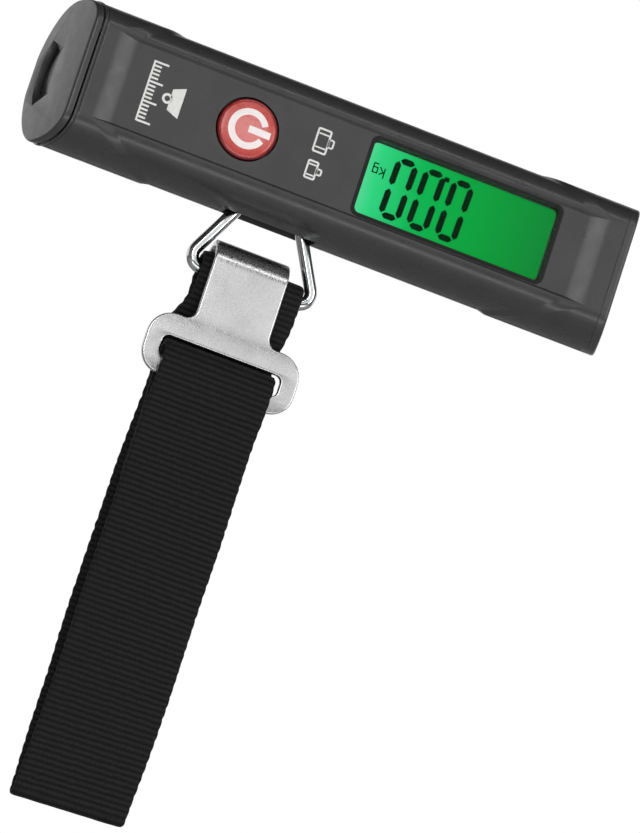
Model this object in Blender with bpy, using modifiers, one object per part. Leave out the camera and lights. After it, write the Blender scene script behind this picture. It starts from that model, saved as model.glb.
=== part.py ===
"""Digital luggage scale: a bar handle with a display, hung with a steel ring, a webbing strap and a hook.

The scale hangs as it does in use. +X runs along the handle towards the display end, -Y is the
display face and +Z is up. The origin is the middle of the handle. All lengths are in metres.
"""

import math

import bmesh
import bpy
from mathutils import Matrix, Vector

MM = 0.001
GAP = 0.3 * MM

# Handle: a bar whose section is flat in front and rounded behind, with a shallow waist between its ends.
FRONT_Y = -13.5 * MM
REAR_Y = 13.5 * MM
REAR_SEMI_DEPTH = 14.0 * MM
END_HALF_HEIGHT = 17.6 * MM
WAIST_HALF_HEIGHT = 17.1 * MM
END_PANEL_HALF = 10.6 * MM
WAIST_PANEL_HALF = 10.6 * MM
PANEL_RECESS = 1.2 * MM
PANEL_Y = FRONT_Y + PANEL_RECESS
WALL = 1.9 * MM
SHELL_FRONT_HALF = 65.5 * MM
END_SLOPE = 0.2185
RAMP_OUTER_X = 61.2 * MM
RAMP_LENGTH = 4.7 * MM
RAMP_SWEEP = 18.0 * MM
RAMP_NARROWING = 0.6
CORNER_STEPS = 7
REAR_STEPS = 14

# End caps: slanted plates that close the two open ends.
CAP_SEAM = 0.4 * MM
CAP_THICKNESS = 1.7 * MM
CAP_EDGE = 0.5 * MM
PULL_CENTRE_Y = -3.6 * MM
PULL_RADIUS = 10.9 * MM
PULL_HALF_WIDTH = 2.4 * MM
PULL_HALF_ANGLE = math.radians(38)

# Display, behind a clear window in the waist panel.
WINDOW_X = 26.3 * MM
WINDOW_SIZE = (46.4 * MM, 17.8 * MM)
WINDOW_CORNER = 1.3 * MM
LCD_Y = -10.1 * MM
LCD_THICKNESS = 1.6 * MM
BACKLIGHT_Y = -8.2 * MM
BOARD_Y = -6.8 * MM
BOARD_THICKNESS = 1.0 * MM

# Power button: a domed cap that is pushed in along +Y.
BUTTON_X = -26.2 * MM
BUTTON_RADIUS = 7.2 * MM
BUTTON_CLEARANCE = 0.3 * MM

# Coin cell and the drawer that carries it out through the -X end.
CELL_X = -56.0 * MM
CELL_Y = 0.8 * MM
CELL_RADIUS = 10.0 * MM
CELL_THICKNESS = 3.2 * MM
TRAY_HALF_HEIGHT = 11.6 * MM
TRAY_THICKNESS = 3.8 * MM
TRAY_INNER_X = -44.6 * MM
HOLDER_WALL = 1.0 * MM
HOLDER_HALF_DEPTH = 3.9 * MM

# Load path: bending beam, eye bolt, wire ring.
RING_X = -12.3 * MM
RING_WIRE = 1.5 * MM
RING_BAR_Z = -31.3 * MM
RING_CORNER_X = 16.4 * MM
RING_LEG_ANGLE = math.radians(28)
RING_CORNER_RADIUS = 2.7 * MM
RING_APEX_RADIUS = 4.5 * MM
RING_SLOT_HALF = (11.2 * MM, 3.3 * MM)
BEAM_LOW = Vector((-17.4, -3.2, 2.0)) * MM
BEAM_HIGH = Vector((33.0, 4.8, 10.0)) * MM
BEAM_SCREW_X = (22.0 * MM, 29.0 * MM)
BEAM_SCREW_Z = 5.2 * MM
EYE_HALF_WIDTH = 1.2 * MM
EYE_RADIUS = 4.6 * MM
EYE_HOLE_RADIUS = 2.5 * MM
SHANK_RADIUS = 1.9 * MM

# Screws that join the two shells, driven in from behind.
SHELL_SCREW_PLACES = [(x * MM, z * MM) for x in (-39.0, 58.0) for z in (-10.5, 10.5)]
SHELL_SCREW_HEAD_Y = 6.4 * MM

# Strap: one length of webbing, sewn round the ring at one end and round the hook plate at the other.
WEB_X = -14.2 * MM
WEB_HALF_WIDTH = 13.2 * MM
WEB_THICKNESS = 1.3 * MM
RING_LOOP_HALF_WIDTH = 12.1 * MM
RING_LOOP_RADIUS = 2.9 * MM
FOLD_Z = -159.7 * MM
FOLD_RADIUS = 1.9 * MM
FOLD_TURN = math.radians(82)

# Hook plate: a flat steel plate with a slot for the webbing, rolled back over the top into a hook.
PLATE_X = -13.8 * MM
PLATE_THICKNESS = 1.6 * MM
PLATE_OUTER_Y = -6.2 * MM
PLATE_MIDDLE_Y = PLATE_OUTER_Y + PLATE_THICKNESS / 2
HOOK_CENTRE_Z = -30.0 * MM
HOOK_HALF_WIDTH = 9.0 * MM
HOOK_END_ANGLE = math.radians(32)
SHOULDER_TOP_Z = -44.6 * MM
SHOULDER_HALF_WIDTH = 18.6 * MM
PLATE_BOTTOM_Z = -59.1 * MM
SLOT_HALF_WIDTH = 14.5 * MM
SLOT_Z = (-55.0 * MM, -50.0 * MM)
PLATE_BAR_Z = (PLATE_BOTTOM_Z + SLOT_Z[0]) / 2


# ---------------------------------------------------------------- scene, materials and small helpers


def clear_scene():
    for obj in list(bpy.data.objects):
        bpy.data.objects.remove(obj, do_unlink=True)


def new_collection(name):
    collection = bpy.data.collections.new(name)
    bpy.context.scene.collection.children.link(collection)
    return collection


clear_scene()
PARTS = new_collection("digital_luggage_scale")
CUTTERS = new_collection("cutters")
CUTTERS.hide_render = True


def material(name, colour, roughness, metallic=0.0):
    found = bpy.data.materials.get(name)
    if found:
        return found
    made = bpy.data.materials.new(name)
    made.use_nodes = True
    shader = made.node_tree.nodes["Principled BSDF"]
    shader.inputs["Base Color"].default_value = (*colour, 1.0)
    shader.inputs["Roughness"].default_value = roughness
    shader.inputs["Metallic"].default_value = metallic
    return made


HOUSING = material("housing_plastic", (0.030, 0.031, 0.034), 0.38)
BUTTON_RED = material("button_red", (0.62, 0.035, 0.040), 0.30)
CLEAR = material("window_clear", (0.30, 0.72, 0.40), 0.05)
LCD_GREEN = material("lcd_green", (0.04, 0.62, 0.22), 0.25)
WHITE_PLASTIC = material("white_plastic", (0.80, 0.80, 0.78), 0.45)
BLACK_PLASTIC = material("inner_plastic", (0.05, 0.05, 0.05), 0.50)
BOARD_GREEN = material("board_green", (0.02, 0.16, 0.06), 0.40)
EPOXY = material("black_epoxy", (0.02, 0.02, 0.02), 0.30)
RUBBER = material("conductive_rubber", (0.10, 0.10, 0.10), 0.80)
NICKEL = material("nickel_plate", (0.72, 0.70, 0.66), 0.25, 1.0)
ALUMINIUM = material("beam_aluminium", (0.78, 0.78, 0.79), 0.35, 1.0)
STEEL = material("hook_steel", (0.66, 0.67, 0.68), 0.28, 1.0)
WIRE_STEEL = material("ring_steel", (0.60, 0.61, 0.62), 0.15, 1.0)
SCREW_STEEL = material("screw_steel", (0.30, 0.30, 0.31), 0.35, 1.0)
GAUGE_FILM = material("gauge_film", (0.70, 0.42, 0.10), 0.40)
WEBBING = material("black_webbing", (0.018, 0.018, 0.020), 0.85)
WIRE_RED = material("wire_red", (0.60, 0.03, 0.03), 0.45)
WIRE_BLACK = material("wire_black", (0.02, 0.02, 0.02), 0.45)


def add_node(name, mesh, look, smooth_angle=math.radians(35)):
    """Puts a mesh in the parts collection as one sub-part."""
    obj = bpy.data.objects.new(name, mesh)
    PARTS.objects.link(obj)
    mesh.materials.clear()
    mesh.materials.append(look)
    mesh.shade_smooth()
    mesh.set_sharp_from_angle(angle=smooth_angle)
    return obj


def add_helper(name, mesh):
    """Puts a mesh in the cutters collection, for a Boolean to use."""
    obj = bpy.data.objects.new(name, mesh)
    CUTTERS.objects.link(obj)
    obj.hide_render = True
    obj.display_type = "WIRE"
    return obj


def boolean(obj, operation, *helpers):
    for helper in helpers:
        modifier = obj.modifiers.new(f"{operation.lower()} {helper.name}", "BOOLEAN")
        modifier.operation = operation
        modifier.solver = "EXACT"
        modifier.object = helper
    return obj


def round_edges(obj, width, segments=2, angle=math.radians(40)):
    modifier = obj.modifiers.new("round edges", "BEVEL")
    modifier.width = width
    modifier.segments = segments
    modifier.limit_method = "ANGLE"
    modifier.angle_limit = angle
    return obj


def mesh_of(name, build):
    """A mesh from a function that fills a bmesh."""
    work = bmesh.new()
    build(work)
    bmesh.ops.recalc_face_normals(work, faces=work.faces)
    mesh = bpy.data.meshes.new(name)
    work.to_mesh(mesh)
    work.free()
    return mesh


def box_mesh(name, low, high):
    low = Vector(low)
    high = Vector(high)
    placed = Matrix.Translation((low + high) / 2) @ Matrix.Diagonal((*(high - low), 1))
    return mesh_of(name, lambda work: bmesh.ops.create_cube(work, size=1, matrix=placed))


def cylinder_mesh(name, radius, start, end, segments=24):
    start = Vector(start)
    run = Vector(end) - start
    turn = Vector((0, 0, 1)).rotation_difference(run).to_matrix().to_4x4()
    placed = Matrix.Translation(start + run / 2) @ turn
    return mesh_of(
        name,
        lambda work: bmesh.ops.create_cone(
            work,
            cap_ends=True,
            segments=segments,
            radius1=radius,
            radius2=radius,
            depth=run.length,
            matrix=placed,
        ),
    )


def loft_mesh(name, sections):
    """A closed body through rings of points, all with the same number of points."""

    def build(work):
        rings = [[work.verts.new(point) for point in section] for section in sections]
        for near, far in zip(rings, rings[1:]):
            for i in range(len(near)):
                j = (i + 1) % len(near)
                work.faces.new((near[i], near[j], far[j], far[i]))
        work.faces.new(rings[0])
        work.faces.new(rings[-1])

    return mesh_of(name, build)


def outline_mesh(name, loops, half_thickness, place):
    """A flat outline, with any holes as further loops, made a slab by a filled 2D curve."""
    curve = bpy.data.curves.new(name, "CURVE")
    curve.dimensions = "2D"
    curve.fill_mode = "BOTH"
    curve.extrude = half_thickness
    for loop in loops:
        spline = curve.splines.new("POLY")
        spline.points.add(len(loop) - 1)
        for point, (x, y) in zip(spline.points, loop):
            point.co = (x, y, 0, 1)
        spline.use_cyclic_u = True
    obj = bpy.data.objects.new(name, curve)
    bpy.context.scene.collection.objects.link(obj)
    bpy.context.view_layer.update()
    graph = bpy.context.evaluated_depsgraph_get()
    mesh = bpy.data.meshes.new_from_object(obj.evaluated_get(graph))
    bpy.data.objects.remove(obj)
    work = bmesh.new()
    work.from_mesh(mesh)
    bmesh.ops.remove_doubles(work, verts=work.verts, dist=0.001 * MM)
    bmesh.ops.transform(work, matrix=place, verts=work.verts)
    bmesh.ops.recalc_face_normals(work, faces=work.faces)
    work.to_mesh(mesh)
    work.free()
    mesh.name = name
    return mesh


def facing_front(x, y):
    """Places a flat outline in the XZ plane at this depth: its first axis is X and its second is Z."""
    return Matrix.Translation((x, y, 0)) @ Matrix.Rotation(math.pi / 2, 4, "X")


def facing_side(x):
    """Places a flat outline in the YZ plane at this length: its first axis is Y and its second is Z."""
    return Matrix(((0, 0, 1, x), (1, 0, 0, 0), (0, 1, 0, 0), (0, 0, 0, 1)))


def arc(centre, radius, start, end, steps):
    """Points of a circular arc in a plane, both ends included."""
    angles = [start + (end - start) * i / steps for i in range(steps + 1)]
    return [(centre[0] + radius * math.cos(a), centre[1] + radius * math.sin(a)) for a in angles]


def rounded(corners, steps=5):
    """A closed outline from corners (x, y, radius), each corner rounded to its radius."""
    points = []
    for i, (x, y, radius) in enumerate(corners):
        corner = Vector((x, y))
        before = (Vector(corners[i - 1][:2]) - corner).normalized()
        after = (Vector(corners[(i + 1) % len(corners)][:2]) - corner).normalized()
        if radius == 0:
            points.append((x, y))
            continue
        half = before.angle(after) / 2
        centre = corner + (before + after).normalized() * (radius / math.sin(half))
        first = corner + before * (radius / math.tan(half)) - centre
        last = corner + after * (radius / math.tan(half)) - centre
        turn = first.angle_signed(last)
        for k in range(steps + 1):
            spoke = first.copy()
            spoke.rotate(Matrix.Rotation(-turn * k / steps, 2))
            points.append(tuple(centre + spoke))
    return points


def rectangle(x_half, y_half, radius):
    signs = ((1, 1), (-1, 1), (-1, -1), (1, -1))
    return rounded([(sx * x_half, sy * y_half, radius) for sx, sy in signs])


def band(points, thickness):
    """The outline of a strip of even thickness along a line of points in a plane."""
    left = []
    right = []
    for i, point in enumerate(points):
        here = Vector(point)
        back = Vector(points[max(i - 1, 0)])
        ahead = Vector(points[min(i + 1, len(points) - 1)])
        along = (ahead - back).normalized()
        side = Vector((-along.y, along.x)) * thickness / 2
        left.append(tuple(here + side))
        right.append(tuple(here - side))
    return left + right[::-1]


def smooth_line(points, steps=6):
    """A smooth curve through a few points of a plane, sampled evenly between each pair."""
    ends = [2 * Vector(points[0]) - Vector(points[1]), 2 * Vector(points[-1]) - Vector(points[-2])]
    route = [ends[0], *map(Vector, points), ends[1]]
    line = []
    for a, b, c, d in zip(route, route[1:], route[2:], route[3:]):
        for k in range(steps):
            t = k / steps
            line.append(
                tuple(
                    0.5
                    * (2 * b + (c - a) * t + (2 * a - 5 * b + 4 * c - d) * t**2
                       + (3 * b - a - 3 * c + d) * t**3)
                )
            )
    return [*line, tuple(points[-1])]


def turned_mesh(name, profile, steps=32):
    """A body turned about the Y axis from (radius, y) points that run from front to back."""

    def build(work):
        points = [work.verts.new((radius, y, 0)) for radius, y in profile]
        edges = [work.edges.new(pair) for pair in zip(points, points[1:])]
        bmesh.ops.spin(
            work,
            geom=points + edges,
            axis=(0, 1, 0),
            cent=(0, 0, 0),
            angle=2 * math.pi,
            steps=steps,
            use_merge=True,
        )
        bmesh.ops.remove_doubles(work, verts=work.verts, dist=0.001 * MM)

    return mesh_of(name, build)


def wire(name, points, radius, look, resolution=2, cyclic=False):
    """A round wire along a line of points."""
    curve = bpy.data.curves.new(name, "CURVE")
    curve.dimensions = "3D"
    curve.bevel_depth = radius
    curve.bevel_resolution = resolution
    curve.use_fill_caps = not cyclic
    spline = curve.splines.new("POLY")
    spline.points.add(len(points) - 1)
    for point, place in zip(spline.points, points):
        point.co = (*place, 1)
    spline.use_cyclic_u = cyclic
    spline.use_smooth = True
    curve.materials.append(look)
    obj = bpy.data.objects.new(name, curve)
    PARTS.objects.link(obj)
    return obj


def add_box(name, low, high, look):
    return add_node(name, box_mesh(name, low, high), look)


def add_cylinder(name, radius, start, end, look, segments=24):
    return add_node(name, cylinder_mesh(name, radius, start, end, segments), look)


def pivot(name, place):
    """An empty on a joint's axis, for the pieces that move with that joint."""
    empty = bpy.data.objects.new(name, None)
    empty.location = place
    empty.empty_display_size = 5 * MM
    PARTS.objects.link(empty)
    return empty


def hang_on(parent, *children):
    """Parents pieces that were modelled in place, and keeps them where they are."""
    bpy.context.view_layer.update()
    for child in children:
        child.parent = parent
        child.matrix_parent_inverse = parent.matrix_world.inverted()


# ---------------------------------------------------------------- shells of the handle


def front_corner(turn, waist, inset):
    """(y, z) on the rounded side of the front shell: turn 0 is the panel's edge, 1 the parting line."""
    angle = turn * math.pi / 2
    panel_half = END_PANEL_HALF + (WAIST_PANEL_HALF - END_PANEL_HALF) * waist
    half_height = END_HALF_HEIGHT + (WAIST_HALF_HEIGHT - END_HALF_HEIGHT) * waist
    depth = -FRONT_Y - PANEL_RECESS * waist - inset
    rise = half_height - panel_half - inset
    return -depth * math.cos(angle), panel_half + rise * math.sin(angle)


def rear_corner(turn, waist, inset):
    """(y, z) on the rear shell: turn 0 is the parting line, 1 the middle of the flat back."""
    angle = turn * math.pi / 2
    half_height = END_HALF_HEIGHT + (WAIST_HALF_HEIGHT - END_HALF_HEIGHT) * waist - inset
    y = (REAR_SEMI_DEPTH - inset) * math.sin(angle)
    return min(y, REAR_Y - inset), half_height * math.cos(angle)


def end_x(y, front_half):
    """Half length of a slanted end at this depth."""
    return front_half + END_SLOPE * (y - FRONT_Y)


def ramp_x(turn):
    """Where the ramp from the proud end down into the waist starts and ends, at this place round the side."""
    outer = RAMP_OUTER_X - RAMP_SWEEP * turn
    return outer, outer - RAMP_LENGTH * (1 - RAMP_NARROWING * turn)


def stations(turn, y):
    """(x, waist) along the handle at one place round its side, from the -X end to the +X end."""
    outer, inner = ramp_x(turn)
    half = [
        (end_x(y, SHELL_FRONT_HALF), 0.0),
        (outer + 1.0 * MM, 0.0),
        (outer, 0.04),
        (outer + (inner - outer) * 0.35, 0.30),
        (outer + (inner - outer) * 0.65, 0.70),
        (inner, 0.96),
        (inner - 1.0 * MM, 1.0),
        (inner * 0.6, 1.0),
        (inner * 0.2, 1.0),
    ]
    return [(-x, waist) for x, waist in half] + [(x, waist) for x, waist in half[::-1]]


def shell_sections(corner, turns):
    """Closed rings for a shell: its outer line, then its inner line back again, upper and lower half alike."""
    rings = [[] for _ in stations(0, 0)]
    for inset, order in ((0.0, 1), (WALL, -1)):
        upper = [(turn, 1) for turn in turns]
        lower = [(turn, -1) for turn in reversed(turns)]
        for turn, side in (upper + lower)[::order]:
            y_end = corner(turn, 0.0, 0.0)[0]
            round_turn = turn if corner is front_corner else 1.0
            for ring, (x, waist) in zip(rings, stations(round_turn, y_end)):
                y, z = corner(turn, waist, inset)
                ring.append((x, y, side * z))
    return rings


def parting_turn(corner):
    """The turn at which a shell stops, half a gap short of the parting plane."""
    if corner is front_corner:
        return 1 - math.asin(GAP / 2 / -FRONT_Y) / (math.pi / 2)
    return math.asin(GAP / 2 / REAR_SEMI_DEPTH) / (math.pi / 2)


def make_front_shell():
    last = parting_turn(front_corner)
    turns = [last * (1 - i / CORNER_STEPS) for i in range(CORNER_STEPS + 1)]
    shell = add_node(
        "front_shell", loft_mesh("front_shell", shell_sections(front_corner, turns)), HOUSING
    )
    bosses = [
        add_helper(
            f"front boss {i}",
            cylinder_mesh("front boss", 3.1 * MM, (x, -GAP / 2, z), (x, -11.0 * MM, z), 16),
        )
        for i, (x, z) in enumerate(SHELL_SCREW_PLACES)
    ]
    boolean(shell, "UNION", *bosses)
    holes = [
        add_helper(
            f"front screw hole {i}",
            cylinder_mesh("front screw hole", 1.45 * MM, (x, 1 * MM, z), (x, -7.0 * MM, z), 12),
        )
        for i, (x, z) in enumerate(SHELL_SCREW_PLACES)
    ]
    button_hole = add_helper(
        "button hole",
        cylinder_mesh(
            "button hole",
            BUTTON_RADIUS + BUTTON_CLEARANCE,
            (BUTTON_X, FRONT_Y - 2 * MM, 0),
            (BUTTON_X, PANEL_Y + WALL + 2 * MM, 0),
            36,
        ),
    )
    window = rectangle(
        WINDOW_SIZE[0] / 2 + 0.2 * MM, WINDOW_SIZE[1] / 2 + 0.2 * MM, WINDOW_CORNER + 0.2 * MM
    )
    window_hole = add_helper(
        "window hole", outline_mesh("window hole", [window], 4 * MM, facing_front(WINDOW_X, PANEL_Y))
    )
    boolean(shell, "DIFFERENCE", *holes, button_hole, window_hole, ring_slot_cutter("front"))
    return shell


def ring_slot_cutter(which):
    x_half, y_half = RING_SLOT_HALF
    low = (RING_X - x_half, -y_half, -22 * MM)
    high = (RING_X + x_half, y_half, -12 * MM)
    return add_helper(f"ring slot {which}", box_mesh("ring slot", low, high))


def make_rear_shell():
    first = parting_turn(rear_corner)
    turns = [first + (1 - first) * i / (REAR_STEPS - 1) for i in range(REAR_STEPS)]
    shell = add_node(
        "rear_shell", loft_mesh("rear_shell", shell_sections(rear_corner, turns[:-1])), HOUSING
    )
    beam_pad = add_helper(
        "beam pad",
        box_mesh(
            "beam pad",
            (BEAM_SCREW_X[0] - 4.5 * MM, BEAM_HIGH.y + GAP, 1.8 * MM),
            (BEAM_SCREW_X[1] + 4.5 * MM, 12.0 * MM, 8.6 * MM),
        ),
    )
    bosses = [
        add_helper(
            f"rear boss {i}",
            cylinder_mesh("rear boss", 3.6 * MM, (x, GAP / 2, z), (x, 9.6 * MM, z), 16),
        )
        for i, (x, z) in enumerate(SHELL_SCREW_PLACES)
    ]
    boolean(shell, "UNION", beam_pad, *bosses)
    cutters = [ring_slot_cutter("rear")]
    for i, (x, z) in enumerate(SHELL_SCREW_PLACES):
        well = cylinder_mesh("head well", 2.6 * MM, (x, SHELL_SCREW_HEAD_Y, z), (x, 16 * MM, z), 20)
        hole = cylinder_mesh("rear screw hole", 1.45 * MM, (x, -1 * MM, z), (x, 8 * MM, z), 12)
        cutters += [add_helper(f"head well {i}", well), add_helper(f"rear screw hole {i}", hole)]
    for i, x in enumerate(BEAM_SCREW_X):
        start = (x, BEAM_HIGH.y - 1 * MM, BEAM_SCREW_Z)
        end = (x, 10.2 * MM, BEAM_SCREW_Z)
        cutters.append(
            add_helper(f"pad hole {i}", cylinder_mesh("pad hole", 1.8 * MM, start, end, 12))
        )
    return boolean(shell, "DIFFERENCE", *cutters)


def end_outline(inset):
    """(y, z) all round the handle's end section, from the top parting line over the front."""
    front = [front_corner(1 - i / CORNER_STEPS, 0.0, inset) for i in range(CORNER_STEPS + 1)]
    rear = [rear_corner(i / REAR_STEPS, 0.0, inset) for i in range(1, REAR_STEPS)]
    upper = [(y, z) for y, z in rear[::-1]] + front
    lower = [(y, -z) for y, z in front[::-1]] + [(y, -z) for y, z in rear]
    return upper + lower


def cap_mesh(name, side):
    """The slanted plate that closes one end, with its outer edge eased."""
    inner = SHELL_FRONT_HALF + CAP_SEAM
    outer = inner + CAP_THICKNESS
    layers = ((inner, 0.0), (outer - CAP_EDGE, 0.0), (outer, CAP_EDGE))
    sections = []
    for front_half, inset in layers:
        ring = [(side * end_x(y, front_half), y, z) for y, z in end_outline(inset)]
        sections.append(ring)
    return loft_mesh(name, sections)


def pull_outline():
    """The curved finger slot, which follows the round back of the cap: (y, z) points."""
    centre = (PULL_CENTRE_Y, 0)
    outside = arc(
        centre, PULL_RADIUS + PULL_HALF_WIDTH, -PULL_HALF_ANGLE, PULL_HALF_ANGLE, 10
    )
    inside = arc(centre, PULL_RADIUS - PULL_HALF_WIDTH, PULL_HALF_ANGLE, -PULL_HALF_ANGLE, 10)
    return outside + inside


def make_end_caps():
    battery_cap = add_node("battery_cap", cap_mesh("battery_cap", -1), HOUSING)
    pull = outline_mesh("pull slot", [pull_outline()], 10 * MM, facing_side(-70 * MM))
    boolean(battery_cap, "DIFFERENCE", add_helper("pull slot", pull))

    display_cap = add_node("display_end_cap", cap_mesh("display_end_cap", 1), HOUSING)
    for i, z in enumerate((-13.2 * MM, 13.2 * MM)):
        tab = box_mesh(
            "cap tab", (62.0 * MM, -4 * MM, z - 1.1 * MM), (69.0 * MM, 4 * MM, z + 1.1 * MM)
        )
        boolean(display_cap, "UNION", add_helper(f"cap tab {i}", tab))
    return battery_cap, display_cap


def make_shell_screws():
    for i, (x, z) in enumerate(SHELL_SCREW_PLACES):
        head_end = SHELL_SCREW_HEAD_Y + GAP
        profile = [
            (0, -6.4 * MM),
            (1.15 * MM, -6.0 * MM),
            (1.15 * MM, head_end),
            (2.3 * MM, head_end),
            (2.3 * MM, head_end + 1.2 * MM),
            (1.7 * MM, head_end + 1.7 * MM),
            (0, head_end + 1.7 * MM),
        ]
        screw = add_node(f"shell_screw_{i + 1}", turned_mesh("shell_screw", profile, 16), SCREW_STEEL)
        screw.location = (x, 0, z)
        recess = head_end + 0.7 * MM
        for k, half in enumerate(((1.5 * MM, 0.3 * MM), (0.3 * MM, 1.5 * MM))):
            low = (x - half[0], recess, z - half[1])
            high = (x + half[0], recess + 3 * MM, z + half[1])
            boolean(screw, "DIFFERENCE", add_helper(f"cross {i} {k}", box_mesh("cross", low, high)))


# ---------------------------------------------------------------- display, board and button


def make_display():
    window = rectangle(WINDOW_SIZE[0] / 2, WINDOW_SIZE[1] / 2, WINDOW_CORNER)
    front = PANEL_Y + 0.2 * MM
    back = PANEL_Y + WALL
    place = facing_front(WINDOW_X, (front + back) / 2)
    add_node(
        "display_window", outline_mesh("display_window", [window], (back - front) / 2, place), CLEAR
    )
    left = WINDOW_X - 24.6 * MM
    right = WINDOW_X + 24.6 * MM
    add_box(
        "lcd_glass", (left, LCD_Y, -9.9 * MM), (right, LCD_Y + LCD_THICKNESS, 9.9 * MM), LCD_GREEN
    )
    lit_back = BOARD_Y - GAP
    add_box("backlight_plate", (left, BACKLIGHT_Y, -9.3 * MM), (right, lit_back, 6.6 * MM), WHITE_PLASTIC)
    add_box("zebra_connector", (left, BACKLIGHT_Y, 7.0 * MM), (right, lit_back, 9.2 * MM), RUBBER)


def make_board():
    back = BOARD_Y + BOARD_THICKNESS
    add_box("circuit_board", (-34.8 * MM, BOARD_Y, -9.6 * MM), (53.0 * MM, back, 9.6 * MM), BOARD_GREEN)
    chip = add_cylinder(
        "chip_blob", 4.0 * MM, (12 * MM, back + GAP, -4 * MM), (12 * MM, back + 1.5 * MM, -4 * MM), EPOXY
    )
    round_edges(chip, 0.6 * MM)
    add_cylinder(
        "buzzer", 6.0 * MM, (44 * MM, back + GAP, 0), (44 * MM, back + 3.2 * MM, 0), BLACK_PLASTIC
    )
    add_box(
        "tact_switch",
        (BUTTON_X - 3.1 * MM, -8.1 * MM, -3.1 * MM),
        (BUTTON_X + 3.1 * MM, BOARD_Y - GAP, 3.1 * MM),
        BLACK_PLASTIC,
    )


def make_power_button():
    profile = [
        (0, -13.4 * MM),
        (2.4 * MM, -13.33 * MM),
        (4.6 * MM, -13.1 * MM),
        (6.2 * MM, -12.72 * MM),
        (6.9 * MM, -12.4 * MM),
        (BUTTON_RADIUS, -12.0 * MM),
        (BUTTON_RADIUS, LCD_Y),
        (8.6 * MM, LCD_Y),
        (8.6 * MM, LCD_Y + 0.8 * MM),
        (0, LCD_Y + 0.8 * MM),
    ]
    button = add_node("power_button", turned_mesh("power_button", profile, 36), BUTTON_RED)
    button.location = (BUTTON_X, 0, 0)
    return button


# ---------------------------------------------------------------- battery drawer


def make_battery():
    """The drawer's tray and cell, and the fixed holder with its two contacts."""
    tray_front = CELL_Y - TRAY_THICKNESS / 2
    tray_x = GAP - end_x(tray_front, SHELL_FRONT_HALF + CAP_SEAM)
    outline = [
        (tray_x, -TRAY_HALF_HEIGHT),
        (TRAY_INNER_X, -TRAY_HALF_HEIGHT),
        (TRAY_INNER_X, TRAY_HALF_HEIGHT),
        (tray_x, TRAY_HALF_HEIGHT),
    ]
    pocket = arc((CELL_X, 0), CELL_RADIUS + 0.3 * MM, 0, 2 * math.pi * 35 / 36, 35)
    place = facing_front(0, CELL_Y)
    tray = add_node(
        "battery_tray",
        outline_mesh("battery_tray", [outline, pocket], TRAY_THICKNESS / 2, place),
        BLACK_PLASTIC,
    )
    half = CELL_THICKNESS / 2
    cell = add_cylinder(
        "coin_cell", CELL_RADIUS, (CELL_X, CELL_Y - half, 0), (CELL_X, CELL_Y + half, 0), NICKEL, 36
    )
    round_edges(cell, 0.4 * MM, 1)

    height = TRAY_HALF_HEIGHT + 0.35 * MM
    holder = add_box(
        "battery_holder",
        (-66.0 * MM, CELL_Y - HOLDER_HALF_DEPTH, -height - HOLDER_WALL),
        (TRAY_INNER_X + 1.2 * MM, CELL_Y + HOLDER_HALF_DEPTH, height + HOLDER_WALL),
        BLACK_PLASTIC,
    )
    space = HOLDER_HALF_DEPTH - HOLDER_WALL
    chamber = box_mesh(
        "holder chamber",
        (-80 * MM, CELL_Y - space, -height),
        (TRAY_INNER_X + 0.4 * MM, CELL_Y + space, height),
    )
    boolean(holder, "DIFFERENCE", add_helper("holder chamber", chamber))
    for name, side in (("contact_negative", -1), ("contact_positive", 1)):
        near = CELL_Y + side * (space - 0.15 * MM)
        far = CELL_Y + side * (space - 0.55 * MM)
        low = (CELL_X - 6 * MM, min(near, far), -2.5 * MM)
        high = (CELL_X + 8 * MM, max(near, far), 2.5 * MM)
        add_box(name, low, high, NICKEL)
    return tray, cell


# ---------------------------------------------------------------- load cell and eye bolt


def make_load_cell():
    beam = add_box("load_cell_beam", BEAM_LOW, BEAM_HIGH, ALUMINIUM)
    middle_z = (BEAM_LOW.z + BEAM_HIGH.z) / 2
    spectacle = rounded(
        [
            (14.5 * MM, middle_z + 2.4 * MM, 2.3 * MM),
            (0.5 * MM, middle_z + 2.4 * MM, 2.3 * MM),
            (0.5 * MM, middle_z - 2.4 * MM, 2.3 * MM),
            (14.5 * MM, middle_z - 2.4 * MM, 2.3 * MM),
        ]
    )
    cutters = [
        add_helper("beam window", outline_mesh("beam window", [spectacle], 8 * MM, facing_front(0, 0))),
        add_helper(
            "shank hole",
            cylinder_mesh(
                "shank hole", SHANK_RADIUS + GAP, (RING_X, 0, -2 * MM), (RING_X, 0, 14 * MM), 16
            ),
        ),
    ]
    for i, x in enumerate(BEAM_SCREW_X):
        start = (x, BEAM_LOW.y - 2 * MM, BEAM_SCREW_Z)
        end = (x, BEAM_HIGH.y + 2 * MM, BEAM_SCREW_Z)
        cutters.append(
            add_helper(f"beam hole {i}", cylinder_mesh("beam hole", 1.8 * MM, start, end, 12))
        )
    boolean(beam, "DIFFERENCE", *cutters)

    for name, z in (("strain_gauge_upper", BEAM_HIGH.z), ("strain_gauge_lower", BEAM_LOW.z)):
        out = 1 if z == BEAM_HIGH.z else -1
        faces = sorted((z + out * 0.15 * MM, z + out * 0.6 * MM))
        add_box(name, (4 * MM, -1.5 * MM, faces[0]), (11 * MM, 3.1 * MM, faces[1]), GAUGE_FILM)

    for i, x in enumerate(BEAM_SCREW_X):
        head = BEAM_LOW.y - GAP
        profile = [
            (0, head - 1.6 * MM),
            (2.3 * MM, head - 1.6 * MM),
            (2.9 * MM, head - 1.0 * MM),
            (2.9 * MM, head),
            (1.5 * MM, head),
            (1.5 * MM, 9.6 * MM),
            (0, 10.0 * MM),
        ]
        name = f"load_cell_screw_{i + 1}"
        screw = add_node(name, turned_mesh(name, profile, 16), SCREW_STEEL)
        screw.location = (x, 0, BEAM_SCREW_Z)


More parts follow.
